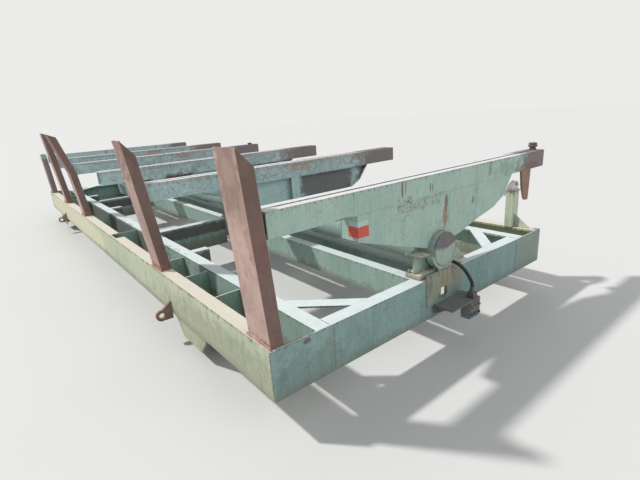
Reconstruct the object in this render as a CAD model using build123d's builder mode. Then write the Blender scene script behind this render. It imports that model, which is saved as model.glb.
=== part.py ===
from build123d import *
import os
from collections import namedtuple
from math import cos, hypot, pi, radians, tan

# Rail-borne log wagon with a tilting deck, as used beside a sawmill's log line.
# Millimetres. X runs across the rails, Y along them with the near end at -Y, Z up.
# The origin lies on the floor under the middle of the frame. Left is -X, right is +X.

Channel = namedtuple("Channel", "height width web flange root")

# Rolled channel sections
frame_channel = Channel(height=300, width=100, web=10, flange=16, root=12)
centre_channel = Channel(height=200, width=90, web=9, flange=12, root=10)
stake_channel = Channel(height=220, width=80, web=9, flange=12.5, root=10)
arm_channel = Channel(height=140, width=60, web=7, flange=10, root=8)

# Clearances
seat_gap = 0.3
running_gap = 0.5
moving_gap = 5
root_clearance = 2

# Wheels and axles
tread_diameter = 315
flange_diameter = 350
tread_width = 65
wheel_width = 110
hub_diameter = 110
hub_length = 110
wheel_web = 32
rim_depth = 30
axle_diameter = 70
collar_diameter = 90
axle_height = flange_diameter / 2

# Frame
frame_length = 8000
frame_width = 2900
axle_drop = 65
ride_height = axle_height + axle_drop
pocket_width = 300
end_plate = 10
frame_top = ride_height + frame_channel.height
half_length = frame_length / 2
half_width = frame_width / 2
inner_back = half_width - pocket_width
inner_toe = inner_back - frame_channel.width
web_end = half_length - end_plate
end_toe = half_length - frame_channel.width

# Stations along the frame, where the stakes and the arms stand
end_station_inset = 130
end_station = half_length - end_station_inset
end_bay = 1630
second_station = end_station - end_bay
third_station = 800
stations = (-end_station, -second_station, -third_station, third_station, second_station, end_station)
wheel_station_inset = 1150
wheel_station = half_length - wheel_station_inset

# Axle brackets under the frame
bracket_plate = 15
bracket_top_length = 570
bracket_foot_length = 320
bracket_depth = 140
outer_housing_width = 60
inner_housing_width = 35
housing_radius = 62
bay_inset = 20
bay_half_length = bracket_top_length / 2 - bay_inset

# Tilting deck
base_plate = 15
shim_thickness = 5
shim_count = 3
base_stack = base_plate + shim_count * shim_thickness
pedestal_rise = 144
tube_offset = 12
tube_height = frame_top + base_stack + pedestal_rise
tube_diameter = 244.5
tube_wall = 16
arm_rise = 526
arm_top = tube_height + arm_rise
arm_width = 145
end_arm_inset = 90
end_arm_overhang = 70
end_arm_left = -half_width + end_arm_inset
end_arm_right = half_width + end_arm_overhang
far_arm_inset = 130
far_arm_right = half_width - far_arm_inset
arm_inset = 70
arm_left = -half_width
arm_right = half_width - arm_inset
belly_plate = 8
middle_plate = 25
strip_width = 100
strip_thickness = 12
tip_plug_inset = 60
tip_plug_length = 80

# Cross beams between the inner and the centre beams
cross_offsets = (280, 480)
stub_offsets = (160, 150, 280)
cross_stations = (-third_station - cross_offsets[0], second_station - cross_offsets[1])
stub_stations = (
    -second_station + stub_offsets[0], third_station + stub_offsets[1], second_station + stub_offsets[2],
)
stub_length = 150
centre_left_back = -250
centre_right_back = 70

# Splice of the near end beam, with an opening for the hoses
splice_left, splice_right = -90, 60
cover_left, cover_right = -200, 100
cover_rise = 30
cover_depth = 200
opening_size = 70
opening_centre = (-15, 410)

# Stakes
stake_inset = 17
slot_edge = 6

# Tilt cylinders
cylinder_stations = (-second_station, second_station)
foot_pin_x, foot_pin_rise = 400, 140
head_pin_x, head_pin_rise = 480, 56
foot_pin = (foot_pin_x, ride_height + foot_pin_rise)
head_pin = (head_pin_x, tube_height + head_pin_rise)
pin_diameter = 40
barrel_diameter = 90
rod_diameter = 45
eye_radius = 34
eye_width = 50

arm_low = arm_top - arm_channel.height
tube_radius = tube_diameter / 2


def channel_profile(plane, section, back, low, opens):
    """Section of a channel: back is the outer face of its web, low its lower edge, and opens
    is +1 or -1, the way its flanges point along the plane's x direction."""
    inner = back + opens * section.web
    toe = back + opens * section.width
    top = low + section.height
    with BuildSketch(plane) as profile:
        with BuildLine():
            Polyline(
                (back, low), (toe, low), (toe, low + section.flange), (inner, low + section.flange),
                (inner, top - section.flange), (toe, top - section.flange), (toe, top), (back, top),
                close=True,
            )
        make_face()
        roots = profile.vertices().filter_by(lambda corner: abs(corner.X - inner) < 0.01)
        fillet(roots, section.root)
    return profile.sketch


def outline(plane, points):
    """Closed straight-sided face on the plane."""
    with BuildSketch(plane) as face:
        with BuildLine():
            Polyline(*points, close=True)
        make_face()
    return face.sketch


def across(y):
    """Upright plane at y, with X to the right and Z up. Extrusion runs towards -Y."""
    return Plane.XZ.offset(-y)


def along(x):
    """Upright plane at x, with Y to the right and Z up. Extrusion runs towards +X."""
    return Plane.YZ.offset(x)


def finish(part, name):
    """Names the piece and writes its file."""
    part.label = name
    export_step(part, f"parts/{name}.step")


os.makedirs("parts", exist_ok=True)


# Outer side beams, with a slot in the upper flange at each stake
slot_width = frame_channel.width - frame_channel.web - slot_edge
for side_name, side in (("left", -1), ("right", 1)):
    with BuildPart() as side_beam:
        extrude(
            channel_profile(across(web_end), frame_channel, side * half_width, ride_height, -side),
            amount=2 * web_end,
        )
        if side < 0:
            slot_centre = side * (half_width - frame_channel.web - slot_edge - slot_width / 2)
            slot_depth = frame_channel.flange + frame_channel.root
            with Locations(*[(slot_centre, y, frame_top - slot_depth / 2) for y in stations]):
                Box(slot_width, stake_channel.height + 2 * seat_gap, slot_depth, mode=Mode.SUBTRACT)
    finish(side_beam.part, f"side_beam_{side_name}")

# Inner side beams
for side_name, side in (("left", -1), ("right", 1)):
    with BuildPart() as inner_beam:
        extrude(
            channel_profile(across(web_end), frame_channel, side * inner_back, ride_height, -side),
            amount=2 * web_end,
        )
    finish(inner_beam.part, f"inner_beam_{side_name}")

# End beams: a web over the full width, flanges between the inner beams.
# The near one is left open for its splice.
for end_name, end in (("near", -1), ("far", 1)):
    with BuildPart() as end_beam:
        extrude(
            channel_profile(along(-inner_toe), frame_channel, end * half_length, ride_height, -end),
            amount=2 * inner_toe,
        )
        with Locations((0, end * (half_length - end_plate / 2), ride_height + frame_channel.height / 2)):
            Box(frame_width, end_plate, frame_channel.height)
        if end < 0:
            with Locations(((splice_left + splice_right) / 2, -half_length, ride_height)):
                Box(splice_right - splice_left + 2 * seat_gap, 3 * frame_channel.width,
                    2 * frame_channel.height, mode=Mode.SUBTRACT)
    finish(end_beam.part, f"end_beam_{end_name}")

# Splice of the near end beam: a short length of channel behind a raised cover plate
with BuildPart() as end_splice:
    extrude(
        channel_profile(along(splice_left), frame_channel, -half_length, ride_height, 1),
        amount=splice_right - splice_left,
    )
    with Locations(((cover_left + cover_right) / 2, -half_length - end_plate / 2,
                    frame_top + (cover_rise - cover_depth) / 2)):
        Box(cover_right - cover_left, end_plate, cover_depth + cover_rise)
    with Locations((opening_centre[0], -half_length, opening_centre[1])):
        Box(opening_size, 4 * end_plate, opening_size, mode=Mode.SUBTRACT)
finish(end_splice.part, "end_splice")

# Two centre beams, toes towards each other, their tops level with the frame
centre_low = frame_top - centre_channel.height
with BuildPart() as centre_beams:
    for back, opens in ((centre_left_back, 1), (centre_right_back, -1)):
        extrude(
            channel_profile(across(end_toe), centre_channel, back, centre_low, opens),
            amount=2 * end_toe,
        )
finish(centre_beams.part, "centre_beams")

# Cross beams from the inner beams to the centre beams, with tongues into the inner channels,
# and short stubs that stand on the left inner beam
tongue = frame_channel.flange + frame_channel.root + root_clearance
with BuildPart() as cross_beams:
    for y in cross_stations:
        for inner, centre, side in ((-inner_toe, centre_left_back, -1), (inner_toe, centre_right_back, 1)):
            start = min(inner, centre)
            extrude(
                channel_profile(along(start), frame_channel, y, ride_height, 1),
                amount=abs(inner - centre),
            )
            tongue_x = inner + side * (frame_channel.width - frame_channel.web) / 2
            with Locations((tongue_x, y + frame_channel.web / 2, (ride_height + frame_top) / 2)):
                Box(frame_channel.width - frame_channel.web, frame_channel.web,
                    frame_channel.height - 2 * tongue)
    for y in stub_stations:
        extrude(
            channel_profile(along(-inner_toe), centre_channel, y, centre_low, 1),
            amount=stub_length,
        )
finish(cross_beams.part, "cross_beams")

# Plates across the side pockets, two beside each wheel and one behind each middle stake
snipe = frame_channel.root + root_clearance
pocket_plate = 10
pocket_stations = [end * (wheel_station + step * bay_half_length) for end in (-1, 1) for step in (-1, 1)]
stake_plate_inset = 160
pocket_stations += [
    end * (station - stake_plate_inset) for end in (-1, 1) for station in (third_station, second_station)
]
with BuildPart() as pocket_plates:
    low, high = ride_height + frame_channel.flange, frame_top - frame_channel.flange
    for side in (-1, 1):
        web_face = side * (half_width - frame_channel.web)
        points = (
            (side * inner_back, low), (web_face - side * snipe, low), (web_face, low + snipe),
            (web_face, high - snipe), (web_face - side * snipe, high), (side * inner_back, high),
        )
        for y in pocket_stations:
            extrude(outline(across(y + pocket_plate / 2), points), amount=pocket_plate)
finish(pocket_plates.part, "pocket_plates")

# Flat braces across the four corners, flush with the top of the frame
brace_thickness = 12
brace_reach = (250, 390)
brace_run = (230, 360)
with BuildPart() as corner_braces:
    for side in (-1, 1):
        for end in (-1, 1):
            corner_x, corner_y = side * inner_toe, end * end_toe
            points = (
                (corner_x, corner_y - end * brace_run[0]), (corner_x, corner_y - end * brace_run[1]),
                (corner_x - side * brace_reach[1], corner_y), (corner_x - side * brace_reach[0], corner_y),
            )
            face = outline(Plane.XY.offset(frame_top - brace_thickness), points)
            extrude(face, amount=brace_thickness, dir=(0, 0, 1))
finish(corner_braces.part, "corner_braces")

# Axle brackets: an outer guard plate and an inner plate under the beams at each wheel
outer_bracket_face = half_width - bracket_plate
wheel_centre = (half_width - frame_channel.width + inner_back) / 2
bracket_low = ride_height - bracket_depth
with BuildPart() as axle_brackets:
    for side in (-1, 1):
        for end in (-1, 1):
            y = end * wheel_station
            points = (
                (y - bracket_top_length / 2, ride_height), (y - bracket_foot_length / 2, bracket_low),
                (y + bracket_foot_length / 2, bracket_low), (y + bracket_top_length / 2, ride_height),
            )
            for face, bored in ((half_width, False), (inner_back, True)):
                start = -face if side < 0 else face - bracket_plate
                extrude(outline(along(start), points), amount=bracket_plate)
                if bored:
                    middle = (start + bracket_plate / 2, y, axle_height)
                    with Locations(Plane(origin=middle, z_dir=(1, 0, 0))):
                        Cylinder(axle_diameter / 2 + running_gap, 2 * bracket_plate, mode=Mode.SUBTRACT)
finish(axle_brackets.part, "axle_brackets")

# Axle housings, one against each bracket plate
with BuildPart() as axle_housings:
    for side in (-1, 1):
        for end in (-1, 1):
            y = end * wheel_station
            for face, inward, width in (
                (outer_bracket_face, -1, outer_housing_width), (inner_back, 1, inner_housing_width),
            ):
                edge = side * face
                start = min(edge, edge + side * inward * width)
                with BuildSketch(along(start)):
                    with Locations((y, axle_height)):
                        Circle(housing_radius)
                    with Locations((y, (axle_height + ride_height) / 2)):
                        Rectangle(2 * housing_radius, ride_height - axle_height)
                    with Locations((y, axle_height)):
                        Circle(axle_diameter / 2 + running_gap, mode=Mode.SUBTRACT)
                extrude(amount=width)
finish(axle_housings.part, "axle_housings")

# Wheels with two flanges, and the axle that turns with each
hub_half, web_half, tread_half, rim_half = hub_length / 2, wheel_web / 2, tread_width / 2, wheel_width / 2
bore_radius = axle_diameter / 2 + seat_gap
hub_radius = hub_diameter / 2
tread_radius, flange_radius = tread_diameter / 2, flange_diameter / 2
rim_radius = tread_radius - rim_depth
flange_bevel = 5
web_draft = 6
axle_overhang = 10
inner_axle_end = inner_back - bracket_plate - axle_overhang
outer_axle_end = outer_bracket_face - moving_gap
outer_housing_face = outer_bracket_face - outer_housing_width
inner_housing_face = inner_back + inner_housing_width
for side_name, side in (("left", -1), ("right", 1)):
    for end_name, end in (("near", -1), ("far", 1)):
        origin = (side * wheel_centre, end * wheel_station, axle_height)
        half_section = (
            (-hub_half, bore_radius), (-hub_half, hub_radius), (-web_half, hub_radius + web_draft),
            (-web_half, rim_radius - web_draft), (-rim_half, rim_radius),
            (-rim_half, flange_radius - flange_bevel), (-tread_half - flange_bevel, flange_radius),
            (-tread_half, tread_radius), (tread_half, tread_radius),
            (tread_half + flange_bevel, flange_radius), (rim_half, flange_radius - flange_bevel),
            (rim_half, rim_radius), (web_half, rim_radius - web_draft),
            (web_half, hub_radius + web_draft), (hub_half, hub_radius), (hub_half, bore_radius),
        )
        with BuildPart() as wheel:
            add(outline(Plane(origin=origin, x_dir=(1, 0, 0), z_dir=(0, -1, 0)), half_section))
            revolve(axis=Axis(origin, (1, 0, 0)))
        finish(wheel.part, f"wheel_{end_name}_{side_name}")

        collars = (
            (outer_housing_face - moving_gap, wheel_centre + hub_half + seat_gap),
            (inner_housing_face + moving_gap, wheel_centre - hub_half - seat_gap),
        )
        with BuildPart() as axle:
            for radius, first, last in (
                (axle_diameter / 2, inner_axle_end, outer_axle_end),
                (collar_diameter / 2, *collars[0]), (collar_diameter / 2, *collars[1]),
            ):
                middle = (side * (first + last) / 2, end * wheel_station, axle_height)
                with Locations(Plane(origin=middle, z_dir=(1, 0, 0))):
                    Cylinder(radius, abs(last - first))
        finish(axle.part, f"axle_{end_name}_{side_name}")

# Tow lugs, two on each side near the wheels
lug_station_inset = 363
lug_station = wheel_station - lug_station_inset
lug_thickness = 25
lug_reach = 130
lug_root = (190, 340)
lug_taper = (20, 10)
lug_eye_drop = 5
lug_eye_height = ride_height - lug_eye_drop
lug_eye_radius = 45
lug_bore = 45
with BuildPart() as tow_lugs:
    for side in (-1, 1):
        for end in (-1, 1):
            y = end * lug_station + lug_thickness / 2
            eye = (side * (half_width + lug_reach - lug_eye_radius), lug_eye_height)
            root = side * half_width
            with BuildSketch(across(y)):
                with BuildLine():
                    Polyline(
                        (root, lug_root[0]), (eye[0] - side * lug_taper[0], eye[1] - lug_eye_radius),
                        eye, (eye[0] - side * lug_taper[1], eye[1] + lug_eye_radius),
                        (root, lug_root[1]), close=True,
                    )
                make_face()
                with Locations(eye):
                    Circle(lug_eye_radius)
                    Circle(lug_bore / 2, mode=Mode.SUBTRACT)
            extrude(amount=lug_thickness)
finish(tow_lugs.part, "tow_lugs")

# Stakes on the left side, each with its own lean, as they were pushed outwards in use. The third
# station is empty, the fourth stake is bent once more halfway up, and the last is cut short.
# Columns of the table: station, trim, lean, rise of the bend, lean above it, drop of the top's cut.
Stake = namedtuple("Stake", "station trim lean bend_rise upper_lean cut_drop")
stakes = (
    Stake(0, -80, 3.8, 560, 3.8, 90),
    Stake(1, -60, 7.0, 560, 7.0, 110),
    Stake(3, 0, 6.5, 580, 16.5, 40),
    Stake(4, 15, 6.5, 560, 6.5, 30),
    Stake(5, -370, 3.5, 560, 3.5, 0),
)
stake_rise = 1095
stake_foot = ride_height + frame_channel.flange + seat_gap


def stake_line(stake, shift, foot, top):
    """Points of a line that runs up along the stake, shift away from its web's outer face."""
    bend = frame_top + stake.bend_rise
    lower, upper = tan(radians(stake.lean)), tan(radians(stake.upper_lean))
    start = -half_width + stake_inset + shift
    points = [(start - lower * (foot - frame_top), foot)]
    if upper != lower and top > bend:
        points.append((start - lower * stake.bend_rise, bend))
        return points + [(start - lower * stake.bend_rise - upper * (top - bend), top)]
    return points + [(start - lower * (top - frame_top), top)]


for stake in stakes:
    top = frame_top + stake_rise + stake.trim
    middle = stations[stake.station]
    depth = stake_channel.width / cos(radians(stake.lean))
    with BuildPart() as stake_post:
        outer = stake_line(stake, 0, stake_foot, top)
        toe = stake_line(stake, depth, stake_foot, top - stake.cut_drop)
        extrude(outline(across(middle + stake_channel.height / 2), outer + toe[::-1]),
                amount=stake_channel.height)
        web_face = stake_line(stake, stake_channel.web, stake_foot - 1, top + 1)
        beyond_toe = stake_line(stake, 2 * depth, stake_foot - 1, top + 1)
        hollow_height = stake_channel.height - 2 * stake_channel.flange
        extrude(outline(across(middle + hollow_height / 2), web_face + beyond_toe[::-1]),
                amount=hollow_height, mode=Mode.SUBTRACT)
    finish(stake_post.part, f"stake_{stake.station + 1}")

# Torque tube with a disc over each end
with BuildPart() as torque_tube:
    with BuildSketch(across(half_length - end_plate)):
        with Locations((tube_offset, tube_height)):
            Circle(tube_radius)
            Circle(tube_radius - tube_wall, mode=Mode.SUBTRACT)
    extrude(amount=2 * (half_length - end_plate))
finish(torque_tube.part, "torque_tube")

with BuildPart() as tube_discs:
    for end in (-1, 1):
        face = max(end * half_length, end * (half_length - end_plate))
        with BuildSketch(across(face)):
            with Locations((tube_offset, tube_height)):
                Circle(tube_radius)
        extrude(amount=end_plate)
finish(tube_discs.part, "tube_discs")

# Arms: two channels toe to toe on a belly that is cut out round the tube.
# The end arms have a closed box belly, the middle arms one plate with a strip round its edge.
# The far arm's right end is cut short.
# Columns of the table: x, height above the tube's axis.
belly_left, belly_right = -760, 980
belly_side = 160
belly_table = ((-120, 29), (150, 36), (265, 54), (470, 111), (720, 163), (850, 226))
belly_points = (
    (belly_left, arm_low), (belly_left, arm_low - belly_side),
    *((x, tube_height + rise) for x, rise in belly_table), (belly_right, arm_low),
)
plate_lap = 50
tube_cut = tube_radius + seat_gap
rib = (-75, 20)
for station, y in enumerate(stations):
    is_end = station in (0, len(stations) - 1)
    left_end, right_end = (end_arm_left, end_arm_right) if is_end else (arm_left, arm_right)
    if is_end and y > 0:
        right_end = far_arm_right
    with BuildPart() as arm:
        for side in (-1, 1):
            extrude(
                channel_profile(along(left_end), arm_channel, y + side * arm_width / 2, arm_low, -side),
                amount=right_end - left_end,
            )
        if is_end:
            extrude(outline(across(y + arm_width / 2), belly_points), amount=arm_width)
            with BuildSketch(across(y + arm_width / 2 - belly_plate)):
                add(outline(Plane.XY, belly_points))
                offset(amount=-belly_plate, kind=Kind.INTERSECTION)
            extrude(amount=arm_width - 2 * belly_plate, mode=Mode.SUBTRACT)
        else:
            plate_top = arm_low + plate_lap
            plate_points = ((belly_left, plate_top),) + belly_points[1:-1] + ((belly_right, plate_top),)
            extrude(outline(across(y + middle_plate / 2), plate_points), amount=middle_plate)
            with BuildSketch(across(y + strip_width / 2)):
                add(outline(Plane.XY, belly_points))
                offset(amount=-strip_thickness, kind=Kind.INTERSECTION, mode=Mode.SUBTRACT)
            extrude(amount=strip_width)
            for face in (-arm_width / 2, arm_width / 2 - belly_plate):
                with Locations(((rib[0] + rib[1]) / 2, y + face + belly_plate / 2,
                                (arm_low + tube_height) / 2)):
                    Box(rib[1] - rib[0], belly_plate, arm_low - tube_height)
        for end_x, inward in ((left_end, 1), (right_end, -1)):
            gap = arm_width - 2 * arm_channel.width
            with Locations((end_x + inward * tip_plug_inset, y, arm_low + arm_channel.height / 2)):
                Box(tip_plug_length, gap, arm_channel.height - arm_channel.root)
        with Locations(Plane(origin=(tube_offset, y, tube_height), z_dir=(0, 1, 0))):
            Cylinder(tube_cut, 2 * arm_width, mode=Mode.SUBTRACT)
    finish(arm.part, f"arm_{station + 1}")

# Posts on the right side beam beside the end arms, each with a gusset and a cap plate
post_width, post_depth = 100, 70
post_wall = 8
post_rise = 335
post_top = frame_top + post_rise
post_inset = 5
post_left = half_width - post_inset - post_width
post_x = post_left + post_width / 2
post_side_gap = 12
post_y = end_station - arm_width / 2 - post_side_gap - post_depth / 2
cap_width, cap_depth = 110, 90
cap_thickness = 12
gusset_thickness = 10
gusset_reach = 150
gusset_height = 120
with BuildPart() as stop_posts:
    for end in (-1, 1):
        y = end * post_y
        with BuildSketch(Plane.XY.offset(frame_top)):
            with Locations((post_x, y)):
                Rectangle(post_width, post_depth)
                Rectangle(post_width - 2 * post_wall, post_depth - 2 * post_wall, mode=Mode.SUBTRACT)
        extrude(amount=post_top - frame_top)
        with Locations((post_x, y, post_top + cap_thickness / 2)):
            Box(cap_width, cap_depth, cap_thickness)
        near_face = y + end * post_depth / 2
        gusset_points = (
            (near_face, frame_top), (near_face, frame_top + gusset_height),
            (near_face + end * gusset_reach, frame_top),
        )
        extrude(outline(along(post_x - gusset_thickness / 2), gusset_points), amount=gusset_thickness)
finish(stop_posts.part, "stop_posts")

# Pawls on the posts, swung back off their hooks. Points from the middle of the post's cap.
pawl_thickness = 40
pawl_seat = post_top + cap_thickness
pawl_outline = (
    (-55, 0), (55, 0), (65, 38), (40, 70), (-55, 93), (-110, 75), (-180, 18), (-198, -19), (-172, -31),
    (-128, 13), (-78, 35),
)
pawl_points = [(post_x + x, pawl_seat + z) for x, z in pawl_outline]
with BuildPart() as pawls:
    for end in (-1, 1):
        extrude(outline(across(end * post_y + pawl_thickness / 2), pawl_points), amount=pawl_thickness)
finish(pawls.part, "pawls")

# Hook plates under the outer tips of the end arms, flush with the faces turned to the frame ends.
# Points from the hook's upper right corner, which keeps clear of the post.
hook_thickness = 20
hook_clearance = 46
hook_outline = (
    (-151, 0), (-139, -60), (-127, -125), (-103, -185), (-87, -230), (-59, -262), (-17, -264),
    (-11, -200), (0, 0),
)
hook_points = [(post_left - hook_clearance + x, arm_low + z) for x, z in hook_outline]
end_stations = (stations[0], stations[-1])
with BuildPart() as hook_plates:
    for y in end_stations:
        outer_face = y - arm_width / 2 if y < 0 else y + arm_width / 2 - hook_thickness
        extrude(outline(across(outer_face + hook_thickness), hook_points), amount=hook_thickness)
finish(hook_plates.part, "hook_plates")

# Log stops on the tips of two arms: a whole one, a stack of discs, on the near arm, and what is left
# of the fourth arm's. Columns of the profiles: radius, height.
whole_stop = (
    (0, 0), (30, 0), (30, 13), (24, 18), (24, 26), (37, 30), (39, 34), (39, 40), (36, 43),
    (30, 46), (34, 50), (34, 60), (30, 64), (0, 64),
)
worn_stop = ((0, 0), (30, 0), (30, 11), (39, 15), (39, 23), (33, 27), (0, 25))
whole_stop_inset, worn_stop_inset = 62, 120
with BuildPart() as log_stops:
    for x, y, profile in (
        (end_arm_right - whole_stop_inset, stations[0], whole_stop),
        (arm_right - worn_stop_inset, stations[3], worn_stop),
    ):
        origin = (x, y, arm_top + seat_gap)
        add(outline(Plane(origin=origin, x_dir=(1, 0, 0), z_dir=(0, -1, 0)), profile))
        revolve(axis=Axis(origin, (0, 0, 1)))
finish(log_stops.part, "log_stops")

# Split bearings of the torque tube. Each saddle has a base plate on shims, a half shell on a
# pedestal, and a flange at either side on an upright web. The near one has lost its cap.
# At the ends the base lies under the arm, and the web has a gusset on the right.
Bearing = namedtuple("Bearing", "shell_start shell_end base_start base_end at_end has_cap")
shell_wall = 20
shell_inner = tube_radius + running_gap
shell_outer = shell_inner + shell_wall
shim_inset = 4
pedestal_half = 70
bearing_flange = 12
split_drop = 6
bearing_split = tube_height - split_drop
flange_outer = 243
flange_inner = tube_radius + moving_gap
web_thickness = 10
web_inset = 8
base_top = frame_top + base_stack
bolt_hole = 17
bolt_offset = 194
bolt_spacing = 76
shell_gap = 3
shell_length = 47
end_base_inset = 29
end_base_length = 128
cross_base_length = 100
foot_reach = 123
gusset_foot = flange_outer + foot_reach
shell_faces = (half_length - shell_gap - shell_length, half_length - shell_gap)
base_faces = (half_length - end_base_inset - end_base_length, half_length - end_base_inset)
bearings = [
    Bearing(-shell_faces[1], -shell_faces[0], -base_faces[1], -base_faces[0], True, False),
    Bearing(*shell_faces, *base_faces, True, True),
]
for y in cross_stations:
    shell_start = y + (cross_base_length - shell_length) / 2
    shell_end = shell_start + shell_length
    bearings.append(Bearing(shell_start, shell_end, y, y + cross_base_length, False, True))


def right_flange(bearing):
    """Start and end along Y of a cap's flange on the right, which keeps clear of the arm."""
    if bearing.at_end:
        return bearing.shell_start, bearing.shell_end
    return bearing.base_start, bearing.base_end


def bolt_places(bearing, side):
    """Places along Y of a flange's bolts."""
    if side > 0 and bearing.at_end and bearing.has_cap:
        return [(bearing.shell_start + bearing.shell_end) / 2]
    middle = (bearing.base_start + bearing.base_end) / 2
    return [middle - bolt_spacing / 2, middle + bolt_spacing / 2]


with BuildPart() as saddles:
    for bearing in bearings:
        base_length = bearing.base_end - bearing.base_start
        base_middle = (bearing.base_start + bearing.base_end) / 2
        for layer in range(shim_count):
            inset = shim_inset * (layer % 2)
            with Locations((tube_offset, base_middle, frame_top + (layer + 0.5) * shim_thickness)):
                Box(2 * (flange_outer - inset), base_length - 2 * inset, shim_thickness)
        with Locations((tube_offset, base_middle, base_top - base_plate / 2)):
            Box(2 * flange_outer, base_length, base_plate)
        with BuildSketch(across(bearing.shell_end)):
            with Locations((tube_offset, tube_height)):
                Circle(shell_outer)
            with Locations((tube_offset, (base_top + tube_height) / 2)):
                Rectangle(2 * pedestal_half, tube_height - base_top)
            with Locations((tube_offset, tube_height)):
                Circle(shell_inner, mode=Mode.SUBTRACT)
            with Locations((tube_offset, bearing_split + tube_diameter / 2)):
                Rectangle(2 * shell_outer + 1, tube_diameter, mode=Mode.SUBTRACT)
        extrude(amount=bearing.shell_end - bearing.shell_start)
        web_edge = flange_outer - web_inset
        with BuildSketch(across(base_middle + web_thickness / 2)):
            with Locations((tube_offset, (base_top + bearing_split - bearing_flange) / 2)):
                Rectangle(2 * web_edge, bearing_split - bearing_flange - base_top)
            if bearing.at_end:
                with BuildLine():
                    Polyline(
                        (tube_offset + web_edge, bearing_split - bearing_flange),
                        (tube_offset + web_edge, base_top), (tube_offset + flange_outer, base_top),
                        (tube_offset + flange_outer, frame_top), (tube_offset + gusset_foot, frame_top),
                        close=True,
                    )
                make_face()
            with Locations((tube_offset, tube_height)):
                Circle(tube_radius + moving_gap, mode=Mode.SUBTRACT)
        extrude(amount=web_thickness)
        for side in (-1, 1):
            flange_start, flange_end = bearing.base_start, bearing.base_end
            if side > 0 and bearing.at_end and bearing.has_cap:
                flange_end = bearing.shell_end
            with Locations((tube_offset + side * (flange_inner + flange_outer) / 2,
                            (flange_start + flange_end) / 2, bearing_split - bearing_flange / 2)):
                Box(flange_outer - flange_inner, flange_end - flange_start, bearing_flange)
            for y in bolt_places(bearing, side):
                with Locations((tube_offset + side * bolt_offset, y, bearing_split)):
                    Cylinder(bolt_hole / 2, 4 * bearing_flange, mode=Mode.SUBTRACT)
finish(saddles.part, "saddles")

cap_low = bearing_split + seat_gap
flange_lap = 2
with BuildPart() as bearing_caps:
    for bearing in bearings:
        if not bearing.has_cap:
            continue
        with BuildSketch(across(bearing.shell_end)):
            with Locations((tube_offset, tube_height)):
                Circle(shell_outer)
                Circle(shell_inner, mode=Mode.SUBTRACT)
            with Locations((tube_offset, cap_low - tube_diameter / 2)):
                Rectangle(2 * shell_outer + 1, tube_diameter, mode=Mode.SUBTRACT)
        extrude(amount=bearing.shell_end - bearing.shell_start)
        for side, faces in ((-1, (bearing.base_start, bearing.base_end)), (1, right_flange(bearing))):
            with Locations((tube_offset + side * (shell_outer - flange_lap + flange_outer) / 2,
                            (faces[0] + faces[1]) / 2, cap_low + bearing_flange / 2)):
                Box(flange_outer - shell_outer + flange_lap, faces[1] - faces[0], bearing_flange)
            for y in bolt_places(bearing, side):
                with Locations((tube_offset + side * bolt_offset, y, cap_low)):
                    Cylinder(bolt_hole / 2, 4 * bearing_flange, mode=Mode.SUBTRACT)
finish(bearing_caps.part, "bearing_caps")

# Pairs of cross beams that carry the feet of the tilt cylinders on a pin
cylinder_bay = 110
boss_radius = 32
pin_side_gap = 6
foot_pin_overhang = 6
with BuildPart() as cylinder_beams:
    for y in cylinder_stations:
        for side in (-1, 1):
            extrude(
                channel_profile(along(centre_right_back), centre_channel, y + side * cylinder_bay / 2,
                                centre_low, side),
                amount=inner_toe - centre_right_back,
            )
            boss_length = cylinder_bay / 2 - eye_width / 2 - pin_side_gap
            boss_middle = y + side * (cylinder_bay / 2 - boss_length / 2)
            with Locations(Plane(origin=(foot_pin[0], boss_middle, foot_pin[1]), z_dir=(0, 1, 0))):
                Cylinder(boss_radius, boss_length)
        with Locations(Plane(origin=(foot_pin[0], y, foot_pin[1]), z_dir=(0, 1, 0))):
            Cylinder(pin_diameter / 2, cylinder_bay + 2 * (centre_channel.web + foot_pin_overhang))
finish(cylinder_beams.part, "cylinder_beams")


def belly_edge(x):
    """Height of the belly's lower edge at x."""
    for (x0, z0), (x1, z1) in zip(belly_points[1:], belly_points[2:]):
        if x0 <= x <= x1:
            return z0 + (z1 - z0) * (x - x0) / (x1 - x0)


# Levers under the second and fifth arms, with the pin that the rods push
lever_thickness = 20
lever_boss = 38
head_pin_overhang = 5
lever_reach = (85, 80)
lever_root = (head_pin[0] - lever_reach[0], head_pin[0] + lever_reach[1])
lever_top = [(x, belly_edge(x)) for x in lever_root]
lever_top[1:1] = [point for point in belly_points if lever_root[0] < point[0] < lever_root[1]]
with BuildPart() as levers:
    for y in cylinder_stations:
        for side in (-1, 1):
            inner_face = eye_width / 2 + pin_side_gap
            face = y + inner_face + lever_thickness if side > 0 else y - inner_face
            with BuildSketch(across(face)):
                with BuildLine():
                    Polyline(
                        *lever_top, (head_pin[0] + lever_boss, head_pin[1]),
                        (head_pin[0], head_pin[1] - lever_boss), (head_pin[0] - lever_boss, head_pin[1]),
                        close=True,
                    )
                make_face()
                with Locations(head_pin):
                    Circle(lever_boss)
            extrude(amount=lever_thickness)
        with Locations(Plane(origin=(head_pin[0], y, head_pin[1]), z_dir=(0, 1, 0))):
            Cylinder(pin_diameter / 2, eye_width + 2 * (pin_side_gap + lever_thickness + head_pin_overhang))
finish(levers.part, "levers")

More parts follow.
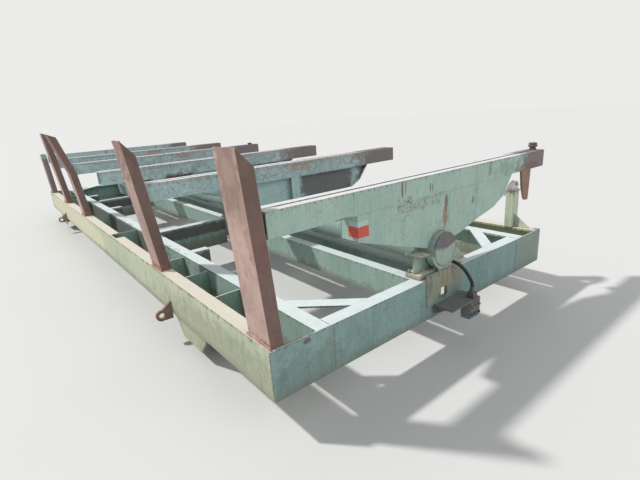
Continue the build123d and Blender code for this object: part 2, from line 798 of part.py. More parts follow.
# Tilt cylinders: a barrel on the foot pin, and a rod whose eye sits loosely on the head pin
head_clearance = 1.2
barrel_length = 225
barrel_base = 44
neck_radius = 24
bore_floor = 60
rod_length = 235
gland_radius = 50
gland_length = 24
run_x, run_z = head_pin[0] - foot_pin[0], head_pin[1] - foot_pin[1]
pin_distance = hypot(run_x, run_z)
direction = (run_x / pin_distance, 0, run_z / pin_distance)
for cylinder_name, y in zip(("near", "far"), cylinder_stations):
    foot = Plane(origin=(foot_pin[0], y, foot_pin[1]), x_dir=(0, 1, 0), z_dir=direction)
    with BuildPart() as barrel:
        with Locations(Plane(origin=foot.origin, z_dir=(0, 1, 0))):
            Cylinder(eye_radius, eye_width)
        with Locations(foot.offset(barrel_base / 2)):
            Cylinder(neck_radius, barrel_base)
        with Locations(foot.offset((barrel_length + barrel_base) / 2)):
            Cylinder(barrel_diameter / 2, barrel_length - barrel_base)
        with Locations(foot.offset(barrel_length - gland_length / 2)):
            Cylinder(gland_radius, gland_length)
        with Locations(foot.offset((barrel_length + bore_floor) / 2)):
            Cylinder(rod_diameter / 2 + running_gap, barrel_length - bore_floor, mode=Mode.SUBTRACT)
        with Locations(Plane(origin=foot.origin, z_dir=(0, 1, 0))):
            Cylinder(pin_diameter / 2 + running_gap, 2 * barrel_diameter, mode=Mode.SUBTRACT)
    finish(barrel.part, f"barrel_{cylinder_name}")
    with BuildPart() as rod:
        with Locations(foot.offset(pin_distance - rod_length / 2)):
            Cylinder(rod_diameter / 2, rod_length)
        with Locations(Plane(origin=foot.offset(pin_distance).origin, z_dir=(0, 1, 0))):
            Cylinder(eye_radius, eye_width)
            Cylinder(pin_diameter / 2 + head_clearance, 2 * eye_width, mode=Mode.SUBTRACT)
    finish(rod.part, f"rod_{cylinder_name}")

# Valve block under a shelf in front of the near end beam, with its hose's port on top
front_face = -half_length - end_plate
shelf = (-130, 205)
shelf_top = 345
shelf_thickness = 12
shelf_reach = 155
block = (75, 205)
block_height = 128
block_depth = 70
block_y = front_face - shelf_reach + block_depth / 2
rib_thickness = 10
rib_reach, rib_depth = 110, 60
port_block = (50, 50, 40)
port_x, port_reach = 155, 120
port_y = front_face - port_reach
port_radius = 17
port_length = 10
port_top = shelf_top + port_block[2] + port_length
with BuildPart() as valve_block:
    with Locations(((shelf[0] + shelf[1]) / 2, front_face - shelf_reach / 2,
                    shelf_top - shelf_thickness / 2)):
        Box(shelf[1] - shelf[0], shelf_reach, shelf_thickness)
    with Locations(((block[0] + block[1]) / 2, block_y, shelf_top - shelf_thickness - block_height / 2)):
        Box(block[1] - block[0], block_depth, block_height)
    with Locations((port_x, port_y, shelf_top + port_block[2] / 2)):
        Box(*port_block)
    with Locations((port_x, port_y, port_top - port_length / 2)):
        Cylinder(port_radius, port_length)
    rib_points = (
        (front_face, shelf_top - shelf_thickness), (front_face, shelf_top - shelf_thickness - rib_depth),
        (front_face - rib_reach, shelf_top - shelf_thickness),
    )
    for x in (shelf[0] + rib_thickness, block[0] - 2 * rib_thickness):
        extrude(outline(along(x), rib_points), amount=rib_thickness)
finish(valve_block.part, "valve_block")

# Hose that the wagon holds from end to end, from a gland on the near bearing's web out over the
# end beam and down to the valve's port. It runs straight between arcs that are as large as the
# runs allow.
feed_diameter = 25
gland_length = 14
gland_x, gland_z = 120, base_top + 22
gland_y = -(base_faces[0] + base_faces[1]) / 2 - web_thickness / 2
feed_points = (
    (gland_x, gland_y - gland_length, gland_z), (gland_x, -3968, gland_z), (121, -4016, 587),
    (129, -4064, 561), (142, -4106, 506), (port_x, port_y, 448), (port_x, port_y, port_top),
)
corners = [Vector(point) for point in feed_points]
feed_radii = []
for before, corner, after in zip(corners, corners[1:], corners[2:]):
    turn = radians((corner - before).get_angle(after - corner))
    shorter_run = min((corner - before).length, (after - corner).length)
    feed_radii.append(0.45 * shorter_run / tan(turn / 2))
print("feed hose radii", [round(radius) for radius in feed_radii])
with BuildPart() as feed_hose:
    with BuildLine() as feed_route:
        FilletPolyline(*feed_points, radius=feed_radii)
    with BuildSketch(Plane(origin=feed_route.line @ 0, z_dir=feed_route.line % 0)):
        Circle(feed_diameter / 2)
    sweep()
    hose_volume = pi * feed_diameter**2 / 4 * feed_route.wire().length
    print("feed hose volume against section times length", feed_hose.part.volume / hose_volume)
    with Locations(Plane(origin=(gland_x, gland_y - gland_length / 2, gland_z), z_dir=(0, 1, 0))):
        Cylinder(port_radius, gland_length)
finish(feed_hose.part, "feed_hose")
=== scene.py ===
"""Dress of the rail log wagon with a tilting deck.

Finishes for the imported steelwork, and the weld beads, bolts and fittings that stand on it.
Metres. X runs across the rails, Y along them with the near end at -Y, and Z up. Left is -X.
"""

import logging
import math
import random
from dataclasses import dataclass, field
from enum import Enum
from typing import Sequence

import bmesh
import bpy
from mathutils import Matrix, Vector

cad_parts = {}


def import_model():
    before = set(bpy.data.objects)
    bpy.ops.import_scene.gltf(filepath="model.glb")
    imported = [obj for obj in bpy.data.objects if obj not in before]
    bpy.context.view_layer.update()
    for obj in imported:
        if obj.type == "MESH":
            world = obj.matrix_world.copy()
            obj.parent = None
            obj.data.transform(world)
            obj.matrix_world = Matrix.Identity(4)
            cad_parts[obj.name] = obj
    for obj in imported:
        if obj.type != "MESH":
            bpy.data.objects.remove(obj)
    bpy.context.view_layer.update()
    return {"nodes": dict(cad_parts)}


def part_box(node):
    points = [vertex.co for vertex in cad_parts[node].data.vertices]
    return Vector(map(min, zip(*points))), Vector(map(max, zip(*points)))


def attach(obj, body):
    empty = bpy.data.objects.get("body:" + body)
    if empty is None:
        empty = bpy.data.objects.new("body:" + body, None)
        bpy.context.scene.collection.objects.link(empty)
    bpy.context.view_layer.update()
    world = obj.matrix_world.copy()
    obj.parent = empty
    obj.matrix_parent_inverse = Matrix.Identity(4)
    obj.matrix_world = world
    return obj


Socket = bpy.types.NodeSocket
Value = float | tuple | Socket
Tint = tuple[int, int, int]
Colour = Tint | Socket
Point = tuple[float, float, float]

SEED = 41
SHARP_DEGREES = 40.0

HALF_LENGTH, HALF_WIDTH = 4.0, 1.45
BEAM_LOW, BEAM_TOP = 0.24, 0.54
STATIONS = (-3.87, -2.24, -0.8, 0.8, 2.24, 3.87)
WHEEL_STATION = 2.85
TUBE = (0.012, 0.714)

MUD = (112, 102, 86)
FRESH_RUST = (190, 142, 112)
RUBBED_EDGE = (206, 186, 170)
OIL_FILM = (92, 78, 66)
GREASE = (52, 46, 42)
POLISHED = (176, 174, 172)
SCRATCH = (112, 80, 70)
TIP_RUST = (124, 121, 127)
TIP_BROWN = (118, 94, 86)
PALE_BAND = (184, 210, 206)
RED_BAND = (204, 84, 68)
MINT, FADED_MINT = (156, 182, 170), (168, 191, 178)
COOL_MINT, FADED_COOL_MINT = (162, 188, 188), (174, 198, 198)

log = logging.getLogger("wagon")


class Body(Enum):
    """Bodies that the pieces made here ride on."""

    FRAME = "frame"
    DECK = "deck"
    BARREL_NEAR = "barrel_near"
    BARREL_FAR = "barrel_far"
    WHEEL_NEAR_LEFT = "wheel_near_left"
    WHEEL_NEAR_RIGHT = "wheel_near_right"
    WHEEL_FAR_LEFT = "wheel_far_left"
    WHEEL_FAR_RIGHT = "wheel_far_right"


class Slot(Enum):
    """Material slots that the part's record names."""

    PAINT = "green_paint"
    RUST = "rusty_steel"
    WHEEL = "wheel_steel"
    ROD = "rod_steel"
    GREY = "grey_paint"


class Form(Enum):
    """Outline of a patch on a surface."""

    ROUND = "round"
    BOX = "box"


class Bead:
    """Radii of the weld beads, lengths of their ripples, how much these differ, and sides."""

    HAIR = 0.0022
    FINE = 0.0025
    SLIM = 0.003
    SEAL = 0.0032
    THIN = 0.0035
    FULL = 0.004
    HEAVY = 0.0045
    BROAD = 0.005

    ROUND_RIPPLE = 0.012
    SHORT_RIPPLE = 0.014
    RIPPLE = 0.016
    LONG_RIPPLE = 0.018
    COARSE_RIPPLE = 0.02
    UNEVEN = 0.22
    SIDES = 6


def linear(tint: Tint) -> tuple[float, float, float, float]:
    """Converts a display colour to the shader's linear one.

    Args:
        tint: red, green and blue from 0 to 255, as the eye sees them.

    Returns:
        Linear red, green, blue and an alpha of 1.
    """
    parts = []
    for level in tint:
        share = level / 255
        parts.append(share / 12.92 if share <= 0.04045 else ((share + 0.055) / 1.055) ** 2.4)
    return (parts[0], parts[1], parts[2], 1.0)


class Graph:
    """Shader nodes of one finish. Each call adds a node and returns its output.

    The masks up and along show on faces that look up and on faces that look along Y.
    """

    def __init__(self, name: str) -> None:
        """Starts an empty material.

        Args:
            name: name of the material.
        """
        self.material = bpy.data.materials.new(name)
        self.material.use_nodes = True
        self.tree = self.material.node_tree
        self.tree.nodes.clear()
        coordinates = self.tree.nodes.new("ShaderNodeTexCoord")
        self.place = coordinates.outputs["Object"]
        self.z = self.split(self.place)[2]
        facing = self.split(coordinates.outputs["Normal"])
        self.up = self.band(facing[2], 0.6, 0.9)
        self.along = self.band(self.math("ABSOLUTE", facing[1]), 0.6, 0.9)

    def add(self, kind: str, inputs: dict, output: int = 0, **settings: object) -> Socket:
        """Adds one node.

        Args:
            kind: type name of the node.
            inputs: sockets or constants by input index or name.
            output: index of the output to return.
            settings: properties of the node.

        Returns:
            The chosen output socket.
        """
        made = self.tree.nodes.new(kind)
        for key, setting in settings.items():
            setattr(made, key, setting)
        for key, value in inputs.items():
            if isinstance(value, Socket):
                self.tree.links.new(value, made.inputs[key])
            else:
                made.inputs[key].default_value = value
        return made.outputs[output]

    def math(self, operation: str, *values: Value) -> Socket:
        """Adds a maths node on one to three numbers."""
        return self.add("ShaderNodeMath", dict(enumerate(values)), operation=operation)

    def vector(self, operation: str, *values: Value, output: int = 0) -> Socket:
        """Adds a maths node on vectors, whose output 1 is a plain number."""
        inputs = dict(enumerate(values))
        return self.add("ShaderNodeVectorMath", inputs, output, operation=operation)

    def split(self, vector: Socket) -> Sequence[Socket]:
        """Splits a vector into its three numbers."""
        return self.add("ShaderNodeSeparateXYZ", {0: vector}).node.outputs

    def times(self, first: Value, second: Value, plus: Value | None = None) -> Socket:
        """Multiplies two numbers, and adds a third to them where one is given."""
        if plus is None:
            return self.math("MULTIPLY", first, second)
        return self.math("MULTIPLY_ADD", first, second, plus)

    def band(self, value: Value, low: float, high: float) -> Socket:
        """Rises smoothly from 0 at low to 1 at high."""
        return self.add(
            "ShaderNodeMapRange", {0: value, 1: low, 2: high, 3: 0.0, 4: 1.0},
            interpolation_type="SMOOTHSTEP",
        )

    def ramp(self, value: Value, low: float, high: float, first: float, last: float) -> Socket:
        """Goes straight from first at low to last at high, and stays between them."""
        return self.add("ShaderNodeMapRange", {0: value, 1: low, 2: high, 3: first, 4: last})

    def noise(self, scale: float, detail: float = 4.0, roughness: float = 0.6,
              stretch: Point = (1.0, 1.0, 1.0), shift: float = 0.0) -> Socket:
        """Adds noise fixed to the piece.

        Args:
            scale: features to the metre.
            detail: octaves.
            roughness: share that each finer octave keeps.
            stretch: factors on the three axes, small along the way that streaks run.
            shift: offset that makes this noise differ from another.

        Returns:
            A value about 0.5 on average.
        """
        offset = (shift, 0.7 * shift, 0.3 * shift)
        moved = self.vector("MULTIPLY_ADD", self.place, stretch, offset)
        return self.add(
            "ShaderNodeTexNoise",
            {"Vector": moved, "Scale": scale, "Detail": detail, "Roughness": roughness},
        )

    def blend(self, mask: Value, first: Colour, second: Colour) -> Socket:
        """Mixes two colours by a mask, each a socket or a display colour."""
        pair = [part if isinstance(part, Socket) else linear(part) for part in (first, second)]
        inputs = {0: mask, 6: pair[0], 7: pair[1]}
        return self.add("ShaderNodeMix", inputs, output=2, data_type="RGBA")

    def mix(self, mask: Value, first: Value, second: Value) -> Socket:
        """Mixes two numbers by a mask."""
        return self.add("ShaderNodeMix", {0: mask, 2: first, 3: second}, data_type="FLOAT")

    def edge(self, radius: float) -> Socket:
        """Finds sharp edges: 0 on flat faces, rising to 1 on an edge.

        Args:
            radius: reach of the effect from the edge, in metres.

        Returns:
            The edge mask.
        """
        bevel = self.add("ShaderNodeBevel", {"Radius": radius}, samples=4)
        true = self.add("ShaderNodeNewGeometry", {}, output=3)
        dot = self.vector("DOT_PRODUCT", bevel, true, output=1)
        return self.band(dot, 0.995, 0.75)

    def finish(self, inputs: dict) -> bpy.types.Material:
        """Ends the material with its shader.

        Args:
            inputs: sockets or constants by the shader's input names.

        Returns:
            The finished material.
        """
        surface = self.add("ShaderNodeBsdfPrincipled", inputs)
        output = self.tree.nodes.new("ShaderNodeOutputMaterial")
        self.tree.links.new(surface, output.inputs[0])
        return self.material


@dataclass
class Coat:
    """Colour, roughness and height of a surface, built up in layers."""

    graph: Graph
    colour: Colour
    roughness: Value
    height: Value

    def cover(self, mask: Socket, tint: Colour, roughness: float, height: float = 0.0) -> None:
        """Lays one layer over what is there.

        Args:
            mask: where the layer shows.
            tint: its colour.
            roughness: its roughness.
            height: how far it stands above what is there, in millimetres.
        """
        self.colour = self.graph.blend(mask, self.colour, tint)
        self.roughness = self.graph.mix(mask, self.roughness, roughness)
        if height:
            self.height = self.graph.times(mask, height, plus=self.height)

    def material(self, metallic: Value = 0.0, specular: float = 0.4) -> bpy.types.Material:
        """Ends the surface with its shader.

        Args:
            metallic: share of bare metal.
            specular: strength of the gloss.

        Returns:
            The finished material.
        """
        graph = self.graph
        relief = {"Strength": 1.0, "Distance": 0.001, "Height": self.height}
        return graph.finish({
            "Base Color": self.colour, "Roughness": self.roughness, "Metallic": metallic,
            "Specular IOR Level": specular, "Normal": graph.add("ShaderNodeBump", relief),
        })


@dataclass(frozen=True)
class Patch:
    """Stain, scrape or painted spot at one place of a surface.

    It reaches half to each side of its centre. Ragged breaks its rim up, and soft fades it.
    """

    centre: Point
    half: Point
    tint: Tint
    strength: float = 1.0
    ragged: float = 0.6
    form: Form = Form.ROUND
    soft: float = 0.25
    flecked: bool = False

    def lay(self, coat: Coat, rough: Socket, flecks: Socket) -> None:
        """Lays the patch on a coat.

        Args:
            coat: the surface so far.
            rough: noise that breaks the patch's rim up.
            flecks: mask of short strokes, which a flecked patch shows alone.
        """
        graph = coat.graph
        away = graph.vector("SUBTRACT", graph.place, self.centre)
        scaled = graph.vector("MULTIPLY", away, tuple(1 / size for size in self.half))
        if self.form is Form.ROUND:
            distance = graph.vector("LENGTH", scaled, output=1)
        else:
            parts = graph.split(graph.vector("ABSOLUTE", scaled))
            distance = graph.math("MAXIMUM", graph.math("MAXIMUM", parts[0], parts[1]), parts[2])
        inside = graph.math("SUBTRACT", 1 - self.ragged, distance)
        broken = graph.times(rough, 2 * self.ragged, plus=inside)
        mask = graph.times(graph.band(broken, 0.0, self.soft), self.strength)
        if self.flecked:
            mask = graph.times(mask, flecks)
        coat.cover(mask, self.tint, 0.8)


@dataclass(frozen=True)
class Rusting:
    """Colours of rust, from fresh to old."""

    light: Tint = (176, 124, 88)
    middle: Tint = (126, 86, 66)
    dark: Tint = (78, 60, 54)

    def colour(self, graph: Graph, scale: float = 11.0) -> Socket:
        """Mixes the three colours by noise.

        Args:
            graph: the finish that uses them.
            scale: features to the metre.

        Returns:
            The colour socket.
        """
        broad = graph.noise(scale, detail=6.0, roughness=0.65, shift=3.1)
        fine = graph.noise(6 * scale, detail=4.0, shift=8.3)
        colour = graph.blend(graph.band(broad, 0.42, 0.62), self.middle, self.dark)
        return graph.blend(graph.band(fine, 0.52, 0.72), colour, self.light)


@dataclass(frozen=True)
class Paint:
    """Old paint on outdoor steelwork: faded, brushed, paler on top from dust and painted sunlight,
    and rusting at its edges.

    Rust runs down from the height run_from, and mud is splashed up from the height foot.
    """

    name: str
    base: Tint
    faded: Tint
    grime: Tint
    chips: float
    top: Tint = (212, 213, 208)
    top_cover: float = 0.9
    streaks: float = 0.3
    grit: float = 0.45
    edges: float = 0.5
    edge_reach: float = 0.008
    run_from: float = 0.54
    run_length: float = 0.05
    runs: float = 0.6
    foot: float | None = None
    patches: tuple[Patch, ...] = ()

    def make(self) -> bpy.types.Material:
        """Builds the material."""
        graph = Graph(self.name)
        cloud = graph.noise(1.9, detail=5.0, shift=1.3)
        mottle = graph.noise(17.0, detail=7.0, roughness=0.68, shift=5.9)
        fine = graph.noise(95.0, detail=4.0, roughness=0.65, shift=2.2)
        broad = graph.noise(1.0, detail=5.0, roughness=0.66, stretch=(11.0, 11.0, 1.6), shift=7.7)
        brush = graph.noise(1.0, detail=4.0, roughness=0.7, stretch=(85.0, 85.0, 7.0), shift=3.4)
        drip = graph.noise(1.0, detail=4.0, roughness=0.7, stretch=(48.0, 48.0, 6.0), shift=9.1)
        rust = Rusting().colour(graph)
        side = graph.math("SUBTRACT", 1.0, graph.up)
        colour = graph.blend(graph.band(cloud, 0.34, 0.66), self.base, self.faded)
        coat = Coat(graph, colour, 0.55, graph.times(fine, 0.22, plus=graph.times(brush, 0.35)))
        pale = tuple(min(255, part + 16) for part in self.faded)
        coat.cover(graph.times(graph.band(brush, 0.5, 0.72), 0.35), pale, 0.62)
        dark = graph.times(graph.band(brush, 0.5, 0.3), graph.times(side, 0.22))
        coat.cover(dark, self.grime, 0.7)
        grit = graph.times(graph.band(fine, 0.52, 0.66), graph.band(mottle, 0.36, 0.6))
        coat.cover(graph.times(grit, graph.times(side, self.grit)), self.grime, 0.8)
        uneven = graph.times(graph.band(broad, 0.48, 0.72), graph.band(mottle, 0.3, 0.62))
        coat.cover(graph.times(uneven, graph.times(side, self.streaks)), self.grime, 0.7)

        # Faces that look up turn paler: dust, and painted sunlight on them.
        dust_and_painted_sunlight = graph.times(graph.up, graph.ramp(mottle, 0.3, 0.66, 1.0, 0.8))
        coat.cover(graph.times(dust_and_painted_sunlight, self.top_cover), self.top, 0.75)

        clusters = graph.math("ADD", graph.times(cloud, 0.55), graph.times(mottle, 0.45))
        thick = graph.ramp(graph.band(clusters, 0.47, 0.62), 0.0, 1.0, 0.12, 1.0)
        specks = graph.times(graph.band(fine, 0.585, 0.63), thick)
        coat.cover(graph.times(specks, self.chips), rust, 0.9, -0.25)

        if self.runs:
            below = graph.ramp(graph.z, self.run_from - self.run_length, self.run_from, 0.0, 1.0)
            reach = graph.times(below, 0.34, plus=graph.times(drip, 1.0, plus=-0.78))
            run = graph.times(graph.times(graph.band(reach, 0.0, 0.07), side), self.runs)
            coat.cover(graph.times(run, graph.band(below, 0.02, 0.3)), rust, 0.85)
        if self.foot is not None:
            level = graph.times(mottle, 0.16, plus=graph.z)
            splash = graph.band(level, self.foot + 0.16, self.foot + 0.07)
            coat.cover(graph.times(splash, 0.5), MUD, 0.9)

        if self.edges:
            edge = graph.edge(self.edge_reach)
            worn = graph.math("ADD", edge, graph.times(mottle, 1.9, plus=-1.35))
            coat.cover(graph.times(graph.band(worn, 0.3, 0.8), self.edges), rust, 0.85, -0.25)

        strokes = graph.noise(1.0, detail=5.0, roughness=0.74, stretch=(130.0, 130.0, 44.0),
                              shift=6.6)
        flecks = graph.times(graph.band(strokes, 0.49, 0.57), graph.band(mottle, 0.38, 0.52))
        for patch in self.patches:
            patch.lay(coat, mottle, flecks)
        return coat.material()


@dataclass(frozen=True)
class OldSteel:
    """Steel that was never painted or has lost its paint, brown all over.

    Faces that look along Y can be darker, with painted shade.
    """

    name: str
    base: Tint
    pale: Tint
    dark: Tint = (122, 98, 90)
    top: Tint = (168, 146, 134)
    # Colour of the painted shade on faces that look along Y.
    flange: Tint = (112, 94, 92)
    flange_shade: float = 0.0
    blotches: float = 0.3
    patches: tuple[Patch, ...] = ()

    def make(self) -> bpy.types.Material:
        """Builds the material."""
        graph = Graph(self.name)
        broad = graph.noise(2.6, detail=6.0, roughness=0.6, shift=4.4)
        along = graph.noise(24.0, detail=5.0, roughness=0.6, stretch=(1.0, 1.0, 0.12), shift=0.9)
        mottle = graph.noise(19.0, detail=7.0, roughness=0.7, shift=6.1)
        fine = graph.noise(130.0, detail=3.0, shift=2.7)
        colour = graph.blend(graph.band(broad, 0.36, 0.64), self.base, self.pale)
        coat = Coat(graph, colour, 0.85, graph.times(fine, 0.3, plus=graph.times(mottle, 0.4)))
        coat.cover(graph.times(graph.band(along, 0.48, 0.74), 0.4), self.pale, 0.8)
        coat.cover(graph.times(graph.band(along, 0.5, 0.3), 0.25), self.dark, 0.85)
        coat.cover(graph.times(graph.band(mottle, 0.52, 0.72), self.blotches), self.dark, 0.9)
        # Painted shade on the faces that look along Y.
        if self.flange_shade:
            uneven = graph.ramp(mottle, 0.3, 0.7, self.flange_shade, 0.8 * self.flange_shade)
            coat.cover(graph.times(graph.along, uneven), self.flange, 0.85)
        spots = graph.math("ADD", graph.times(fine, 0.5), graph.times(broad, 0.5))
        coat.cover(graph.times(graph.band(spots, 0.57, 0.64), 0.3), FRESH_RUST, 0.9)
        coat.cover(graph.times(graph.up, 0.5), self.top, 0.85)
        edge = graph.edge(0.005)
        bright = graph.times(graph.band(graph.math("ADD", edge, mottle), 0.8, 1.3), 0.4)
        coat.cover(bright, RUBBED_EDGE, 0.6)
        flecks = graph.band(fine, 0.5, 0.58)
        for patch in self.patches:
            patch.lay(coat, mottle, flecks)
        return coat.material(specular=0.3)


@dataclass(frozen=True)
class BareSteel:
    """Machined or polished steel with a film of grease and dirt."""

    name: str
    shine: Tint
    dirt: float
    roughness: float

    def make(self) -> bpy.types.Material:
        """Builds the material."""
        graph = Graph(self.name)
        mottle = graph.noise(26.0, detail=6.0, roughness=0.66, shift=1.9)
        fine = graph.noise(160.0, detail=3.0, shift=4.6)
        coat = Coat(graph, self.shine, self.roughness, graph.times(fine, 0.12))
        film = graph.times(graph.band(mottle, 0.42, 0.7), self.dirt)
        coat.cover(film, OIL_FILM, 0.75)
        return coat.material(metallic=graph.math("SUBTRACT", 1.0, film), specular=0.5)


@dataclass(frozen=True)
class Tread:
    """Cast wheel: rusty on its web, dark grease at the hub, polished on its tread."""

    name: str
    centre: Point
    tread_radius: float = 0.1575
    tread_half: float = 0.034

    def make(self) -> bpy.types.Material:
        """Builds the material."""
        graph = Graph(self.name)
        mottle = graph.noise(30.0, detail=6.0, roughness=0.68, shift=3.3)
        fine = graph.noise(150.0, detail=3.0, shift=1.2)
        rust = Rusting(light=(150, 108, 80), middle=(108, 78, 62), dark=(70, 58, 52))
        height = graph.times(fine, 0.4, plus=graph.times(mottle, 0.6))
        coat = Coat(graph, rust.colour(graph, 18.0), 0.85, height)
        away = graph.vector("SUBTRACT", graph.place, self.centre)
        flat = graph.vector("MULTIPLY", away, (0.0, 1.0, 1.0))
        radius = graph.vector("LENGTH", flat, output=1)
        offset = graph.math("ABSOLUTE", graph.split(away)[0])
        between = graph.band(offset, self.tread_half + 0.006, self.tread_half)
        outside = graph.band(radius, self.tread_radius - 0.004, self.tread_radius - 0.001)
        on_tread = graph.times(between, outside)
        worn = graph.times(on_tread, graph.ramp(mottle, 0.3, 0.7, 1.0, 0.6))
        grease = graph.times(graph.band(radius, 0.082, 0.058), 0.8)
        coat.cover(grease, GREASE, 0.4)
        coat.cover(worn, POLISHED, 0.3)
        return coat.material(metallic=graph.times(worn, 0.9), specular=0.4)


@dataclass(frozen=True)
class Plain:
    """Small part of one colour, with grain and a little dirt."""

    name: str
    tint: Tint
    dirt: Tint
    dirty: float
    roughness: float
    metallic: float = 0.0

    def make(self) -> bpy.types.Material:
        """Builds the material."""
        graph = Graph(self.name)
        mottle = graph.noise(34.0, detail=5.0, roughness=0.66, shift=2.9)
        fine = graph.noise(140.0, detail=3.0, shift=5.3)
        coat = Coat(graph, self.tint, self.roughness, graph.times(fine, 0.2))
        coat.cover(graph.times(graph.band(mottle, 0.46, 0.68), self.dirty), self.dirt, 0.85)
        return coat.material(metallic=self.metallic)


END_ARMS = (1, 6)
NEAR_TIP, FAR_TIP = 1.52, 1.32
ARM_HALF = 0.0725


def end_arm_patches(y: float, tip: float) -> tuple[Patch, ...]:
    """Lists the scrapes, runs and painted spots of an end arm.

    Args:
        y: station of the arm.
        tip: where the arm ends on the right.

    Returns:
        The patches, the tip's rust first.
    """
    outer = y + math.copysign(ARM_HALF, y)
    return (
        Patch((tip + 0.04, y, 1.17), (0.50, 1.0, 1.0), TIP_RUST, 0.85, 0.5, Form.BOX, 0.3),
        Patch((tip - 0.28, y, 1.12), (0.22, 1.0, 0.05), TIP_BROWN, 0.6, 0.9),
        Patch((tip - 0.10, y, 1.17), (0.24, 1.0, 0.20), TIP_BROWN, 0.45, 1.1),
        Patch((-0.725, outer, 1.045), (0.055, 0.085, 0.018), PALE_BAND, 0.6, 0.15, Form.BOX, 0.2),
        Patch((-0.725, outer, 0.996), (0.055, 0.085, 0.034), RED_BAND, 0.95, 0.08, Form.BOX, 0.06),
        Patch((-0.372, y, 1.186), (0.011, 1.0, 0.060), SCRATCH, 0.8, 0.5, soft=0.2),
        Patch((-0.338, y, 1.190), (0.006, 1.0, 0.050), SCRATCH, 0.7, 0.5, soft=0.2),
        Patch((-0.090, y, 1.160), (0.007, 1.0, 0.034), SCRATCH, 0.7, 0.5, soft=0.2),
        Patch((-0.066, y, 1.156), (0.006, 1.0, 0.032), SCRATCH, 0.7, 0.5, soft=0.2),
        Patch((-0.335, y, 1.070), (0.095, 1.0, 0.080), SCRATCH, 0.85, 0.9, flecked=True),
        Patch((-0.170, y, 1.064), (0.130, 1.0, 0.040), SCRATCH, 0.75, 1.0, flecked=True),
        Patch((-0.010, y, 1.072), (0.080, 1.0, 0.040), SCRATCH, 0.8, 0.9, flecked=True),
        Patch((0.090, y, 1.025), (0.020, 1.0, 0.065), SCRATCH, 0.75, 0.9),
        Patch((0.080, y, 0.930), (0.030, 1.0, 0.080), (150, 112, 86), 0.7, 0.8),
        Patch((0.070, y, 0.905), (0.090, 1.0, 0.040), (138, 112, 92), 0.25, 1.1, soft=0.7),
        Patch((0.420, y, 0.985), (0.010, 1.0, 0.032), SCRATCH, 0.7, 0.7),
        Patch((0.480, y, 1.030), (0.005, 1.0, 0.120), (118, 104, 90), 0.6, 0.7),
        Patch((0.250, y, 0.990), (0.060, 1.0, 0.120), (176, 150, 138), 0.2, 1.2, soft=0.7),
        Patch((0.640, y, 1.190), (0.020, 1.0, 0.060), (104, 104, 92), 0.5, 0.9),
        Patch((0.900, y, 1.160), (0.260, 1.0, 0.075), (116, 116, 108), 0.35, 1.2, soft=0.8),
        Patch((-0.860, y, 1.098), (0.100, 1.0, 0.012), (112, 92, 92), 0.7, 0.5),
    )


def middle_arm_patches(y: float) -> tuple[Patch, ...]:
    """Lists the rusty stretches of a middle arm, and the painted shade on its recessed belly plate.

    Args:
        y: station of the arm.

    Returns:
        The patches, the tip's rust first.
    """
    return (
        Patch((1.38, y, 1.17), (0.58, 1.0, 1.0), TIP_RUST, 0.85, 0.5, Form.BOX, 0.3),
        Patch((1.10, y, 1.17), (0.40, 1.0, 0.20), TIP_BROWN, 0.5, 1.1),
        Patch((-0.55, y, 1.220), (1.10, 1.0, 0.020), (150, 128, 118), 0.35, 0.8),
        Patch((0.45, y, 1.220), (0.70, 1.0, 0.030), (166, 142, 134), 0.35, 0.8),
        Patch((-0.85, y, 1.150), (0.60, 1.0, 0.080), (96, 90, 82), 0.55, 0.9, flecked=True),
        Patch((0.10, y, 1.160), (0.70, 1.0, 0.070), (118, 92, 80), 0.65, 0.9, flecked=True),
        Patch((0.05, y, 1.190), (0.16, 1.0, 0.040), (168, 128, 104), 0.45, 1.0),
        Patch((-0.62, y, 0.98), (0.18, 1.0, 0.16), (104, 86, 80), 0.85, 0.5, Form.BOX),
        # Dark patch on the recessed belly plate: painted shade over rust brown.
        Patch((0.42, y, 0.94), (0.40, 0.03, 0.18), (98, 88, 90), 0.85, 0.4, Form.BOX),
    )


def arm_recipe(number: int, y: float) -> Paint:
    """Describes the paint of an arm.

    Args:
        number: number of the arm, 1 at the near end.
        y: its station.

    Returns:
        The recipe.
    """
    is_near, is_end = number == 1, number in END_ARMS
    if is_end:
        patches = end_arm_patches(y, NEAR_TIP if is_near else FAR_TIP)
    else:
        patches = middle_arm_patches(y)
    return Paint(
        f"arm_{number}_paint",
        MINT if is_near else COOL_MINT,
        FADED_MINT if is_near else FADED_COOL_MINT,
        grime=(116, 130, 118), top=(214, 208, 209), top_cover=0.97, streaks=0.25,
        chips=0.4 if is_end else 0.9, run_from=1.24, run_length=0.045, runs=0.5, patches=patches,
    )


